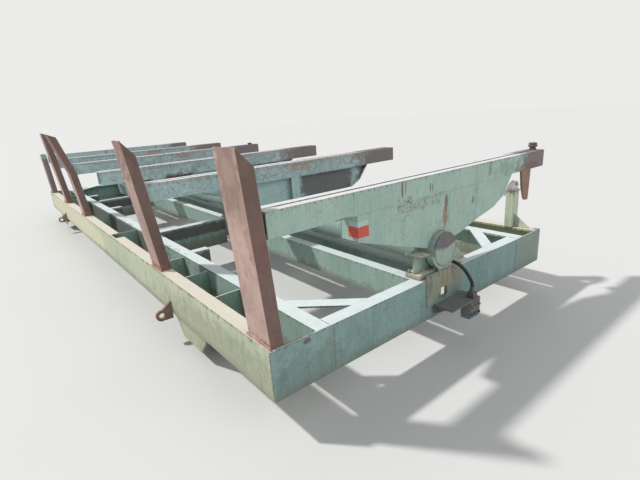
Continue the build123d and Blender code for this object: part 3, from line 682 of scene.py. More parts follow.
RECIPES = (
    Paint(
        "outer_beam_paint", (172, 182, 154), (188, 193, 166), grime=(124, 122, 98),
        top=(212, 202, 188), streaks=0.45, chips=0.55, run_length=0.06, runs=0.8, foot=0.24,
        edges=0.8, edge_reach=0.012,
        patches=(
            Patch((-1.45, -3.3, 0.36), (0.1, 1.4, 0.16), (122, 116, 104), 0.4, 1.0, soft=0.7),
            Patch((-1.45, 1.9, 0.38), (0.1, 2.6, 0.20), (226, 214, 188), 0.5, 0.7),
        ),
    ),
    Paint(
        "inner_beam_paint", (142, 168, 158), (156, 180, 168), grime=(100, 106, 94),
        top=(214, 220, 219), streaks=0.5, chips=0.5, foot=0.28,
        patches=(
            Patch((0.0, 0.0, 0.29), (3.0, 5.0, 0.10), (126, 118, 98), 0.55, 0.7, Form.BOX),
            # Dark bands on the pocket sides of the inner beams' webs: painted shade.
            Patch((-1.15, 0.9, 0.42), (0.03, 3.1, 0.12), (84, 76, 78), 0.8, 0.7, Form.BOX),
            Patch((1.15, 0.9, 0.42), (0.03, 3.1, 0.12), (84, 76, 78), 0.8, 0.7, Form.BOX),
        ),
    ),
    Paint(
        "cross_beam_paint", (132, 158, 148), (146, 170, 158), grime=(92, 96, 86),
        top=(210, 214, 212), streaks=0.5, chips=0.6, foot=0.28,
        patches=(
            # Dark band under the top flanges: painted shade with some dirt.
            Patch((0.0, 0.0, 0.465), (3.0, 5.0, 0.065), (82, 74, 76), 0.8, 0.6, Form.BOX),
            Patch((0.0, 0.0, 0.29), (3.0, 5.0, 0.08), (112, 104, 90), 0.5, 0.8, Form.BOX),
        ),
    ),
    # The end beam's tints are darker than the arms' mint: painted shade, for a low face that sees
    # little sky.
    Paint(
        "end_beam_paint", (122, 150, 146), (136, 164, 158), grime=(88, 98, 92), top=(217, 222, 221),
        streaks=0.4, chips=0.45, runs=0.5, run_length=0.035, foot=0.24,
        patches=(
            Patch((-1.22, -4.0, 0.512), (0.030, 0.05, 0.018), (96, 74, 64), 0.75, 0.9),
            Patch((1.26, -4.0, 0.38), (0.21, 0.05, 0.3), (142, 146, 122), 0.4, 0.3, Form.BOX),
            Patch((-1.20, -4.0, 0.34), (0.26, 0.05, 0.14), (108, 112, 106), 0.3, 0.9),
            Patch((0.18, -4.0, 0.45), (0.07, 0.05, 0.12), (150, 134, 104), 0.5, 0.8),
        ),
    ),
    Paint(
        "splice_paint", (132, 150, 136), (146, 162, 144), grime=(92, 90, 78), streaks=0.7,
        chips=0.7, run_from=0.57, run_length=0.09, runs=0.7, edges=0.9, edge_reach=0.010,
        patches=(
            Patch((-0.04, -4.0, 0.48), (0.16, 0.05, 0.14), (150, 138, 112), 0.5, 1.0, soft=0.7),
            Patch((-0.035, -4.0, 0.500), (0.030, 0.05, 0.085), (158, 112, 82), 0.7, 1.0, soft=0.8),
            Patch((0.030, -4.0, 0.500), (0.018, 0.05, 0.090), (160, 116, 84), 0.6, 1.0, soft=0.8),
            Patch((-0.170, -4.0, 0.480), (0.040, 0.05, 0.120), (124, 98, 82), 0.6, 1.0, soft=0.8),
            Patch((0.085, -4.0, 0.530), (0.030, 0.05, 0.060), (142, 100, 76), 0.6, 1.0, soft=0.8),
            # Dark patch round the opening: painted shade.
            Patch((-0.01, -4.0, 0.395), (0.075, 0.05, 0.050), (84, 80, 80), 0.75, 0.8, soft=0.6),
        ),
    ),
    Paint(
        "inside_paint", (130, 158, 148), (146, 170, 158), grime=(96, 102, 92), chips=0.5, foot=0.24,
    ),
    Paint(
        "bracket_paint", (158, 164, 138), (172, 176, 148), grime=(104, 98, 80), streaks=0.5,
        chips=0.7, run_from=0.24, run_length=0.1, foot=0.02, edges=0.8,
    ),
    Paint(
        "pedestal_paint", (146, 172, 158), (158, 182, 166), grime=(112, 100, 82),
        top=(216, 204, 184), streaks=0.5, chips=0.5, run_from=0.70, run_length=0.03, edges=0.7,
        patches=(
            Patch((0.012, 0.0, 0.548), (0.40, 5.0, 0.0085), (184, 142, 92), 0.8, 0.3, Form.BOX),
            Patch((0.012, -3.975, 0.64), (0.15, 0.03, 0.10), (126, 100, 88), 0.7, 0.6),
        ),
    ),
    Paint(
        "post_paint", (180, 190, 166), (196, 202, 178), grime=(128, 132, 112), streaks=0.4,
        chips=0.5, run_from=0.87, run_length=0.10, edges=0.7,
    ),
    Paint(
        "pawl_paint", (206, 206, 202), (220, 218, 214), grime=(138, 130, 120), chips=0.7,
        run_from=0.97, run_length=0.03, edges=0.8,
    ),
    Paint(
        "tube_paint", (136, 162, 152), (150, 172, 160), grime=(104, 104, 92), chips=0.7,
        run_from=0.82, run_length=0.06, edges=0.4, top=(176, 176, 164), top_cover=0.5,
    ),
    Paint(
        "disc_paint", (150, 168, 156), (162, 178, 164), grime=(116, 118, 102), chips=0.4,
        run_from=0.83, run_length=0.10, runs=0.4, edges=0.5,
        patches=(
            Patch((0.0, -4.0, 0.835), (0.24, 0.3, 0.125), (106, 98, 106), 0.9, 0.3),
            Patch((0.045, -4.0, 0.785), (0.030, 0.3, 0.040), (144, 110, 96), 0.5, 0.9),
            Patch((0.0, 4.0, 0.835), (0.24, 0.3, 0.125), (106, 98, 106), 0.9, 0.3),
        ),
    ),
    Paint(
        "lever_paint", (136, 160, 148), (150, 170, 156), grime=(92, 92, 80), chips=0.7,
        run_from=0.86, run_length=0.08,
    ),
    Paint(
        "valve_paint", (104, 114, 116), (116, 124, 124), grime=(60, 62, 62), top=(112, 114, 110),
        top_cover=0.7, streaks=0.7, chips=0.7, run_from=0.333, run_length=0.12,
    ),
    OldSteel(
        "stake_steel", base=(162, 136, 126), pale=(192, 164, 154), dark=(108, 84, 78),
        # Flanges darker by painted shade.
        flange=(96, 76, 70), flange_shade=0.88, blotches=0.45,
        patches=(
            Patch((-1.50, -3.87, 1.44), (0.1, 0.06, 0.08), (198, 184, 168), 0.45, 0.8),
            Patch((-1.45, -3.97, 1.10), (0.1, 0.05, 0.12), (132, 92, 86), 0.3, 1.0),
            Patch((-1.43, 0.0, 0.55), (0.1, 5.0, 0.05), (146, 104, 82), 0.6, 0.8),
            Patch((-1.55, -3.87, 1.50), (0.15, 0.12, 0.34), (132, 104, 94), 0.5, 1.0),
            Patch((-1.60, 0.0, 1.45), (0.16, 3.0, 0.60), (128, 100, 92), 0.6, 0.9),
        ),
    ),
    OldSteel(
        # Flanges darker by painted shade.
        "stub_stake_steel", base=(150, 134, 138), pale=(164, 148, 152), flange_shade=0.75,
        patches=(
            Patch((-1.47, 3.87, 1.270), (0.2, 0.2, 0.085), (146, 172, 160), 0.85, 0.5, Form.BOX),
        ),
    ),
    OldSteel(
        "hook_steel", base=(124, 100, 88), pale=(146, 120, 106), dark=(84, 66, 58), blotches=0.5,
    ),
    OldSteel(
        "stop_steel", base=(98, 84, 80), pale=(120, 104, 98), dark=(62, 54, 52),
        top=(122, 108, 102), blotches=0.5,
    ),
    OldSteel(
        "housing_steel", base=(110, 94, 82), pale=(136, 118, 102), dark=(62, 54, 48), blotches=0.5,
    ),
    BareSteel("rod_chrome", shine=(200, 202, 204), dirt=0.3, roughness=0.18),
    BareSteel("axle_steel", shine=(150, 146, 142), dirt=0.75, roughness=0.4),
    Plain("weld_metal", (132, 142, 130), dirt=(116, 88, 70), dirty=0.7, roughness=0.7),
    Plain("cream_weld", (206, 184, 148), dirt=(158, 120, 82), dirty=0.5, roughness=0.7),
    Plain("bolt_zinc", (168, 160, 148), dirt=(112, 84, 66), dirty=0.6, roughness=0.5, metallic=0.5),
    Plain(
        "fitting_steel", (112, 108, 98), dirt=(50, 46, 42), dirty=0.7, roughness=0.45, metallic=0.6,
    ),
    Plain("brass", (176, 146, 84), dirt=(84, 70, 50), dirty=0.6, roughness=0.4, metallic=0.8),
    Plain("hose_rubber", (44, 46, 50), dirt=(104, 100, 92), dirty=0.3, roughness=0.55),
    Plain("barrel_paint", (74, 82, 86), dirt=(104, 84, 66), dirty=0.7, roughness=0.5),
)


class Finishes:
    """Every finish of the wagon, made once and handed out by name."""

    def __init__(self) -> None:
        """Builds the materials."""
        recipes = [*RECIPES, *(arm_recipe(number, y) for number, y in enumerate(STATIONS, start=1))]
        self.materials = {recipe.name: recipe.make() for recipe in recipes}

    def __getitem__(self, name: str) -> bpy.types.Material:
        """Hands out a finish."""
        return self.materials[name]

    def add(self, recipe: Tread) -> None:
        """Builds one more finish and keeps it."""
        self.materials[recipe.name] = recipe.make()


@dataclass
class Shape:
    """Mesh gathered from lofted rings, turned forms, blocks and beads."""

    rng: random.Random
    points: list[Vector] = field(default_factory=list)
    faces: list[tuple[int, ...]] = field(default_factory=list)

    def loft(self, rings: Sequence[Sequence[Vector]], loop: bool = False) -> None:
        """Skins a row of rings that have as many points each.

        Args:
            rings: the rings in order.
            loop: whether the last ring joins the first, so that there are no ends.
        """
        count, start = len(rings[0]), len(self.points)
        for ring in rings:
            self.points.extend(Vector(point) for point in ring)
        for row in range(len(rings) if loop else len(rings) - 1):
            here, there = start + row * count, start + (row + 1) % len(rings) * count
            for k in range(count):
                after = (k + 1) % count
                self.faces.append((here + k, here + after, there + after, there + k))
        if not loop:
            last = start + (len(rings) - 1) * count
            self.faces.append(tuple(range(start + count - 1, start - 1, -1)))
            self.faces.append(tuple(range(last, last + count)))

    def turn(self, origin: Point, axis: Point, profile: Sequence[tuple[float, float]],
             sides: int = 20, spin: float = 0.0) -> None:
        """Turns a profile round an axis.

        Args:
            origin: where the axis starts.
            axis: its direction.
            profile: distance along the axis and radius, in order.
            sides: points of each ring, 6 for a hexagon.
            spin: turn of the first point, in radians.
        """
        way = Vector(axis).normalized()
        first = way.orthogonal().normalized()
        second = way.cross(first)
        rings = []
        for distance, radius in profile:
            centre = Vector(origin) + way * distance
            rings.append([
                centre + radius * (math.cos(spin + step) * first + math.sin(spin + step) * second)
                for step in (2 * math.pi * k / sides for k in range(sides))
            ])
        self.loft(rings)

    def block(self, low: Point, high: Point, chamfer: float) -> None:
        """Makes a block with chamfered edges.

        Args:
            low: lowest corner.
            high: highest corner.
            chamfer: width of the chamfers.
        """
        rings = []
        for z, inset in ((low[2], chamfer), (low[2] + chamfer, 0.0), (high[2] - chamfer, 0.0),
                         (high[2], chamfer)):
            x0, x1, y0, y1 = low[0] + inset, high[0] - inset, low[1] + inset, high[1] - inset
            c = chamfer
            rings.append([Vector(p) for p in (
                (x0 + c, y0, z), (x1 - c, y0, z), (x1, y0 + c, z), (x1, y1 - c, z),
                (x1 - c, y1, z), (x0 + c, y1, z), (x0, y1 - c, z), (x0, y0 + c, z),
            )])
        self.loft(rings)

    def run(self, path: Sequence[Point], radius: float, ripple: float, loop: bool = False) -> None:
        """Makes an uneven round rod along a path.

        Args:
            path: points of the middle line.
            radius: radius of the rod.
            ripple: share by which the radius varies from ring to ring.
            loop: whether the path closes.
        """
        line = [Vector(point) for point in path]
        count = len(line)
        rings = []
        first = None
        for k, point in enumerate(line):
            before = line[(k - 1) % count] if loop or k else point
            after = line[(k + 1) % count] if loop or k < count - 1 else point
            way = (after - before).normalized()
            first = way.orthogonal() if first is None else first - way * first.dot(way)
            first.normalize()
            second = way.cross(first)
            size = radius * (1 + ripple * self.rng.uniform(-1.0, 1.0))
            if not loop and k in (0, count - 1):
                size *= 0.55
            rings.append([
                point + size * (math.cos(step) * first + math.sin(step) * second)
                for step in (2 * math.pi * side / Bead.SIDES for side in range(Bead.SIDES))
            ])
        self.loft(rings, loop)

    def bead(self, corners: Sequence[Point], radius: float = Bead.HEAVY,
             pitch: float = Bead.SHORT_RIPPLE, loop: bool = False) -> None:
        """Lays a weld bead along straight runs.

        Args:
            corners: corners of the joint.
            radius: radius of the bead, half of it sunk in the joint.
            pitch: length of one ripple.
            loop: whether the joint closes.
        """
        line = [Vector(corner) for corner in corners]
        ends = line[1:] + line[:1] if loop else line[1:]
        path = []
        for start, end in zip(line, ends):
            steps = max(2, round((end - start).length / pitch))
            path += [start.lerp(end, k / steps) for k in range(steps)]
        if not loop:
            path.append(line[-1])
        wobble = 0.15 * radius
        path = [point + Vector([self.rng.uniform(-wobble, wobble) for _ in range(3)])
                for point in path]
        self.run(path, radius, Bead.UNEVEN, loop)

    def ring_bead(self, centre: Point, axis: Point, radius: float, bead: float = Bead.HEAVY,
                  start: float = 0.0, end: float = 360.0) -> None:
        """Lays a weld bead round a circle or along an arc of it.

        Args:
            centre: centre of the circle.
            axis: its axis.
            radius: radius of the circle.
            bead: radius of the bead.
            start: first angle in degrees, from +X, or from +Y round the X axis.
            end: last angle in degrees.
        """
        way = Vector(axis).normalized()
        first = Vector((0, 1, 0)) if abs(way.x) > 0.9 else Vector((1, 0, 0))
        first = (first - way * first.dot(way)).normalized()
        second = first.cross(way)
        if second.z < 0:
            second = -second
        full = end - start >= 360
        steps = max(12, round(math.radians(end - start) * radius / Bead.ROUND_RIPPLE))
        path = []
        for k in range(steps if full else steps + 1):
            angle = math.radians(start + (end - start) * k / steps)
            spoke = math.cos(angle) * first + math.sin(angle) * second
            path.append(Vector(centre) + radius * spoke)
        self.run(path, bead, Bead.UNEVEN, full)

    def bolt(self, seat: Point, axis: Point, size: float = 0.016, stub: float = 0.0) -> None:
        """Sets a hexagon head, or a nut with a stub of thread, on a face, with a washer under it.

        Args:
            seat: middle of the bolt on the face.
            axis: direction away from the face.
            size: thread diameter.
            stub: length of thread past the nut, 0 for a head.
        """
        base, rim = 0.16 * size, 0.95 * size
        self.turn(seat, axis, [(-0.0005, rim - 0.0005), (0.0002, rim), (base - 0.0004, rim),
                               (base, rim - 0.0006)])
        radius, height = 0.86 * size, 0.65 * size if not stub else 0.8 * size
        self.turn(seat, axis, [(base - 0.0003, radius - 0.001), (base + 0.0008, radius),
                               (base + height - 0.0012, radius), (base + height, radius - 0.0018)],
                  sides=6, spin=self.rng.uniform(0.0, 1.0))
        if stub:
            profile = []
            pitch = 0.12 * size
            for k in range(int(stub / pitch)):
                level = base + height - 0.001 + k * pitch
                profile += [(level, 0.44 * size), (level + pitch / 2, 0.5 * size)]
            profile.append((base + height + stub, 0.40 * size))
            self.turn(seat, axis, profile, sides=14)

    def piece(self, name: str, finish: bpy.types.Material, body: Body, slot: Slot) -> None:
        """Makes the object and lets it ride.

        Args:
            name: name of the piece.
            finish: its material.
            body: the body that it moves with.
            slot: the record's slot for its finish; not used.
        """
        mesh = bpy.data.meshes.new(name)
        mesh.from_pydata(self.points, [], self.faces)
        work = bmesh.new()
        work.from_mesh(mesh)
        bmesh.ops.recalc_face_normals(work, faces=work.faces)
        work.to_mesh(mesh)
        work.free()
        mesh.polygons.foreach_set("use_smooth", [True] * len(mesh.polygons))
        mesh.set_sharp_from_angle(angle=math.radians(SHARP_DEGREES))
        mesh.materials.append(finish)
        made = bpy.data.objects.new(name, mesh)
        bpy.context.scene.collection.objects.link(made)
        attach(made, body.value)
        log.info("piece %s: %d faces", name, len(mesh.polygons))


@dataclass
class Part:
    """Part of the wagon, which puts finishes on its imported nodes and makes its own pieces."""

    finishes: Finishes
    nodes: dict[str, bpy.types.Object]
    rng: random.Random

    def coat(self, finish: str, *names: str) -> None:
        """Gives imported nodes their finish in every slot.

        Args:
            finish: name of the finish.
            names: names of the nodes.
        """
        for name in names:
            materials = self.nodes[name].data.materials
            if not materials:
                materials.append(self.finishes[finish])
            for index in range(len(materials)):
                materials[index] = self.finishes[finish]
            log.info("node %s: %s", name, finish)


@dataclass
class Frame(Part):
    """Beams of the wagon's frame, the welds along their joints and the strips on top."""

    half_length: float = HALF_LENGTH
    half_width: float = HALF_WIDTH
    inner_back: float = 1.15
    inner_toe: float = 1.05
    end_toe: float = 3.9
    plate: float = 0.01
    low: float = BEAM_LOW
    top: float = BEAM_TOP
    seam: float = 1.03
    pocket_stations: tuple[float, ...] = (-3.115, -2.585, 2.585, 3.115, -2.08, -0.64, 0.64, 2.08)
    bracket_half: float = 0.275
    bracket_plate: float = 0.015
    lug_station: float = 2.487
    lug_half: float = 0.0125
    lug_heights: tuple[float, float] = (0.245, 0.335)
    cover: tuple[tuple[float, float], tuple[float, float]] = ((-0.20, 0.10), (0.37, 0.57))
    splice_joints: tuple[float, float] = (-0.09, 0.06)
    splice_toe: float = -3.905
    opening: tuple[float, float] = (-0.015, 0.41)
    opening_half: float = 0.0365
    strip_half: float = 0.125
    empty_station: int = 2

    def dress(self) -> None:
        """Puts the paint on the beams and makes every piece of the frame."""
        self.coat("outer_beam_paint", "side_beam_left", "side_beam_right")
        self.coat("end_beam_paint", "end_beam_near", "end_beam_far")
        self.coat("splice_paint", "end_splice")
        self.coat("inner_beam_paint", "inner_beam_left", "inner_beam_right", "centre_beams",
                  "corner_braces")
        self.coat("cross_beam_paint", "cross_beams")
        self.coat("inside_paint", "pocket_plates", "cylinder_beams")
        self.coat("bracket_paint", "axle_brackets")
        self.coat("housing_steel", "axle_housings")
        self.coat("hook_steel", "tow_lugs")
        self.corner_welds()
        self.pocket_welds()
        self.bracket_welds()
        self.lug_welds()
        self.splice_welds()
        self.foot_strips()

    def corner_welds(self) -> None:
        """Welds the end beams to the side and inner beams."""
        shape = Shape(self.rng)
        face, inner = self.half_length, self.half_length - self.plate
        low, high = self.low + 0.03, self.top - 0.03
        for end in (-1, 1):
            for side in (-1, 1):
                x = side * (self.half_width - 0.001)
                shape.bead([(x, end * inner, self.low + 0.01), (x, end * inner, self.top - 0.01)])
                x = side * self.seam
                shape.bead([(x, end * face, self.low + 0.012), (x, end * face, self.top - 0.012)],
                           Bead.SLIM)
                x, z = side * self.inner_toe, self.top - 0.001
                shape.bead([(x, end * self.end_toe, z), (x, end * inner, z)], Bead.SLIM)
                for x in (side * self.inner_back, side * (self.half_width - 0.1)):
                    shape.bead([(x, end * inner, low), (x, end * inner, high)], Bead.FULL)
            for side in (-1, 1):
                places = (self.half_width - 0.03, self.inner_back + 0.09)
                shape.bead([(side * x, end * inner, self.top) for x in places], Bead.SLIM)
        shape.piece("weld_frame_corners", self.finishes["weld_metal"], Body.FRAME, Slot.PAINT)

    def pocket_welds(self) -> None:
        """Welds the plates into the side pockets."""
        shape = Shape(self.rng)
        low, high = self.low + 0.03, self.top - 0.032
        for side in (-1, 1):
            for station in self.pocket_stations:
                for y in (station - self.plate / 2, station + self.plate / 2):
                    for x in (side * self.inner_back, side * (self.half_width - self.plate)):
                        shape.bead([(x, y, low), (x, y, high)], Bead.THIN, Bead.COARSE_RIPPLE)
        shape.piece("weld_pocket_plates", self.finishes["weld_metal"], Body.FRAME, Slot.PAINT)

    def bracket_welds(self) -> None:
        """Welds the axle brackets under the beams."""
        shape = Shape(self.rng)
        half, plate = self.bracket_half, self.bracket_plate
        for side in (-1, 1):
            for end in (-1, 1):
                y = end * WHEEL_STATION
                for x in (self.half_width, self.half_width - plate, self.inner_back,
                          self.inner_back - plate):
                    shape.bead([(side * x, y - half, self.low), (side * x, y + half, self.low)],
                               Bead.THIN)
        shape.piece("weld_axle_brackets", self.finishes["weld_metal"], Body.FRAME, Slot.PAINT)

    def lug_welds(self) -> None:
        """Welds the tow lugs to the side beams."""
        shape = Shape(self.rng)
        for side in (-1, 1):
            for end in (-1, 1):
                for face in (-self.lug_half, self.lug_half):
                    x, y = side * self.half_width, end * self.lug_station + face
                    shape.bead([(x, y, z) for z in self.lug_heights], Bead.FULL)
        shape.piece("weld_tow_lugs", self.finishes["weld_metal"], Body.FRAME, Slot.RUST)

    def splice_welds(self) -> None:
        """Welds the splice's cover plate on, its joints shut and a collar round its opening."""
        shape = Shape(self.rng)
        (left, right), (low, high) = self.cover
        face = -self.half_length - self.plate
        corners = [(left, low), (right, low), (right, high), (left, high)]
        shape.bead([(x, face + self.plate - 0.0005, z) for x, z in corners], Bead.HEAVY,
                   Bead.LONG_RIPPLE, loop=True)
        front = -self.half_length
        for x in self.splice_joints:
            for z in (self.low, self.top):
                shape.bead([(x, front + 0.004, z), (x, self.splice_toe, z)], Bead.FULL)
            shape.bead([(x, front, self.low + 0.006), (x, front, low - 0.004)], Bead.THIN)
        x, z = self.opening
        half = self.opening_half
        rim = [(x + a * half, face, z + b * half) for a, b in ((-1, -1), (1, -1), (1, 1), (-1, 1))]
        shape.bead(rim, Bead.HAIR, Bead.COARSE_RIPPLE, loop=True)
        shape.piece("weld_end_splice", self.finishes["weld_metal"], Body.FRAME, Slot.PAINT)

    def foot_strips(self) -> None:
        """Makes the bent packing strips along the outer side of the stakes' feet."""
        shape = Shape(self.rng)
        steps, floor = 12, self.top - 0.001
        for number, y in enumerate(STATIONS):
            if number == self.empty_station:
                continue
            rings = []
            for k in range(steps + 1):
                share = k / steps
                at = y - self.strip_half + 2 * self.strip_half * share
                wave = 0.010 * math.sin(3.1 * share + number)
                high = self.top + (0.016 + wave + self.rng.uniform(-0.002, 0.002))
                x = -self.half_width + 0.008 + 0.003 * math.sin(2.3 * share + 2 * number)
                rings.append([Vector(p) for p in (
                    (x - 0.003, at, floor), (x + 0.003, at, floor),
                    (x + 0.0025, at, high), (x - 0.0025, at, high),
                )])
            shape.loft(rings)
        shape.piece("stake_foot_strips", self.finishes["stake_steel"], Body.FRAME, Slot.RUST)


@dataclass(frozen=True)
class Stake:
    """One leaning stake: where it stands, how high it reaches, and how it leans and bends."""

    y: float
    top: float
    lean: float
    bend: float = 0.0
    upper_lean: float = 0.0

    def back(self, foot: float, floor: float) -> float:
        """Finds the outer face of the web at the stake's top.

        Args:
            foot: where that face stands on the beam.
            floor: height of the beam's top.

        Returns:
            Its place across the wagon.
        """
        bend = self.bend or self.top
        low = foot - math.tan(math.radians(self.lean)) * (bend - floor)
        return low - math.tan(math.radians(self.upper_lean)) * (self.top - bend)


@dataclass
class Stakes(Part):
    """Leaning stakes along the left side."""

    foot_back: float = -HALF_WIDTH + 0.017
    half: float = 0.108
    lip_radius: float = 0.0042
    stakes: tuple[Stake, ...] = (
        Stake(-3.87, 1.555, 3.8),
        Stake(-2.24, 1.575, 7.0),
        Stake(0.8, 1.635, 6.5, 1.12, 16.5),
        Stake(2.24, 1.650, 6.5),
        Stake(3.87, 1.265, 3.5),
    )

    def dress(self) -> None:
        """Puts the finish on the stakes and makes the hammered lips on their tops."""
        self.coat("stake_steel", "stake_1", "stake_2", "stake_4", "stake_5")
        self.coat("stub_stake_steel", "stake_6")
        shape = Shape(self.rng)
        for stake in self.stakes:
            back = stake.back(self.foot_back, BEAM_TOP)
            path, steps = [], 14
            for k in range(steps + 1):
                path.append((back + 0.0045 + self.rng.uniform(-0.0015, 0.0015),
                             stake.y + self.half * (2 * (k / steps) - 1),
                             stake.top - 0.002 + self.rng.uniform(-0.0015, 0.0015)))
            shape.run(path, self.lip_radius, ripple=0.3)
        shape.piece("stake_lips", self.finishes["stake_steel"], Body.FRAME, Slot.RUST)


@dataclass(frozen=True)
class Bearing:
    """One split bearing of the torque tube: where it lies along Y, and what it has.

    Right lists the places of the bolts on its right side.
    """

    start: float
    end: float
    shell: float
    gusset: bool
    capped: bool
    right: tuple[float, ...]


@dataclass
class Bearings(Part):
    """Split bearings of the torque tube with their bolts and welds."""

    centre: tuple[float, float] = TUBE
    floor: float = BEAM_TOP
    base_top: float = 0.57
    base_half: float = 0.243
    web_half: float = 0.235
    web: float = 0.005
    pedestal_half: float = 0.07
    shell_radius: float = 0.14275
    shell_half: float = 0.0235
    flange_low: float = 0.696
    flange_top: float = 0.7203
    bolt_offset: float = 0.194
    bolt_half: float = 0.038
    gusset_foot: float = 0.366
    anchor: Point = (-0.215, -3.865, 0.57)
    bearings: tuple[Bearing, ...] = (
        Bearing(-3.971, -3.843, -3.9735, gusset=True, capped=False, right=()),
        Bearing(-1.08, -0.98, -1.03, gusset=False, capped=True, right=(-1.068, -0.992)),
        Bearing(1.76, 1.86, 1.81, gusset=False, capped=True, right=(1.772, 1.848)),
        Bearing(3.843, 3.971, 3.9735, gusset=True, capped=True, right=(3.9735,)),
    )

    def dress(self) -> None:
        """Puts the paint on the bearings and makes their bolts and welds."""
        self.coat("pedestal_paint", "saddles", "bearing_caps")
        bolts, welds = Shape(self.rng), Shape(self.rng)
        for bearing in self.bearings:
            self.weld(welds, bearing)
            if bearing.capped:
                self.bolt(bolts, bearing)
        for sides, profile in ((20, [(0, 0.017), (0.003, 0.017), (0.0031, 0.0165)]),
                               (6, [(0.003, 0.014), (0.014, 0.014), (0.0155, 0.012)]),
                               (20, [(0.0140, 0.008), (0.024, 0.008), (0.0255, 0.007)])):
            bolts.turn(self.anchor, (0, 0, 1), profile, sides)
        welds.piece("weld_bearing_bases", self.finishes["weld_metal"], Body.FRAME, Slot.PAINT)
        bolts.piece("bearing_cap_bolts", self.finishes["bolt_zinc"], Body.FRAME, Slot.WHEEL)

    def weld(self, welds: Shape, bearing: Bearing) -> None:
        """Welds the shims down and the web and the flanges together.

        Args:
            welds: the mesh to add to.
            bearing: which one.
        """
        x, base = self.centre[0], self.base_top
        low, high = x - self.base_half, x + self.base_half
        start, end = bearing.start, bearing.end
        middle = (start + end) / 2
        shell = (bearing.shell - self.shell_half, bearing.shell + self.shell_half)
        welds.bead([(low, start, self.floor), (high, start, self.floor), (high, end, self.floor),
                    (low, end, self.floor)], Bead.FULL, Bead.COARSE_RIPPLE, loop=True)
        for side in (-1, 1):
            for face in (-self.web, self.web):
                y = middle + face
                toe, root = x + side * self.web_half, x + side * (self.shell_radius + 0.004)
                for z, radius in ((base, Bead.FULL), (self.flange_low, Bead.THIN)):
                    welds.bead([(toe, y, z), (root, y, z)], radius, Bead.RIPPLE)
            edge = x + side * self.pedestal_half
            for y in shell:
                if start < y < end:
                    welds.bead([(edge, y, base), (x, y, base)], Bead.THIN, Bead.RIPPLE)
            near, far = max(start, shell[0]) + 0.002, min(end, shell[1]) - 0.002
            welds.bead([(edge, near, base), (edge, far, base)], Bead.THIN)
        if bearing.gusset:
            for y in (middle - self.web, middle + self.web):
                welds.bead([(high + 0.004, y, self.floor), (x + self.gusset_foot, y, self.floor)],
                           Bead.FULL, Bead.RIPPLE)
        if bearing.capped:
            rim, z = x - self.shell_radius + 0.002, self.flange_top
            welds.bead([(rim, shell[0] + 0.002, z), (rim, shell[1] - 0.002, z)], Bead.THIN)

    def bolt(self, bolts: Shape, bearing: Bearing) -> None:
        """Bolts a cap down, with the bolts' ends and nuts below the flange.

        Args:
            bolts: the mesh to add to.
            bearing: which one.
        """
        middle = (bearing.start + bearing.end) / 2
        left = (middle - self.bolt_half, middle + self.bolt_half)
        for side, places in ((-1, left), (1, bearing.right)):
            for y in places:
                x = self.centre[0] + side * self.bolt_offset
                bolts.bolt((x, y, self.flange_top), (0, 0, 1))
                bolts.bolt((x, y, self.flange_low), (0, 0, -1), stub=0.008)


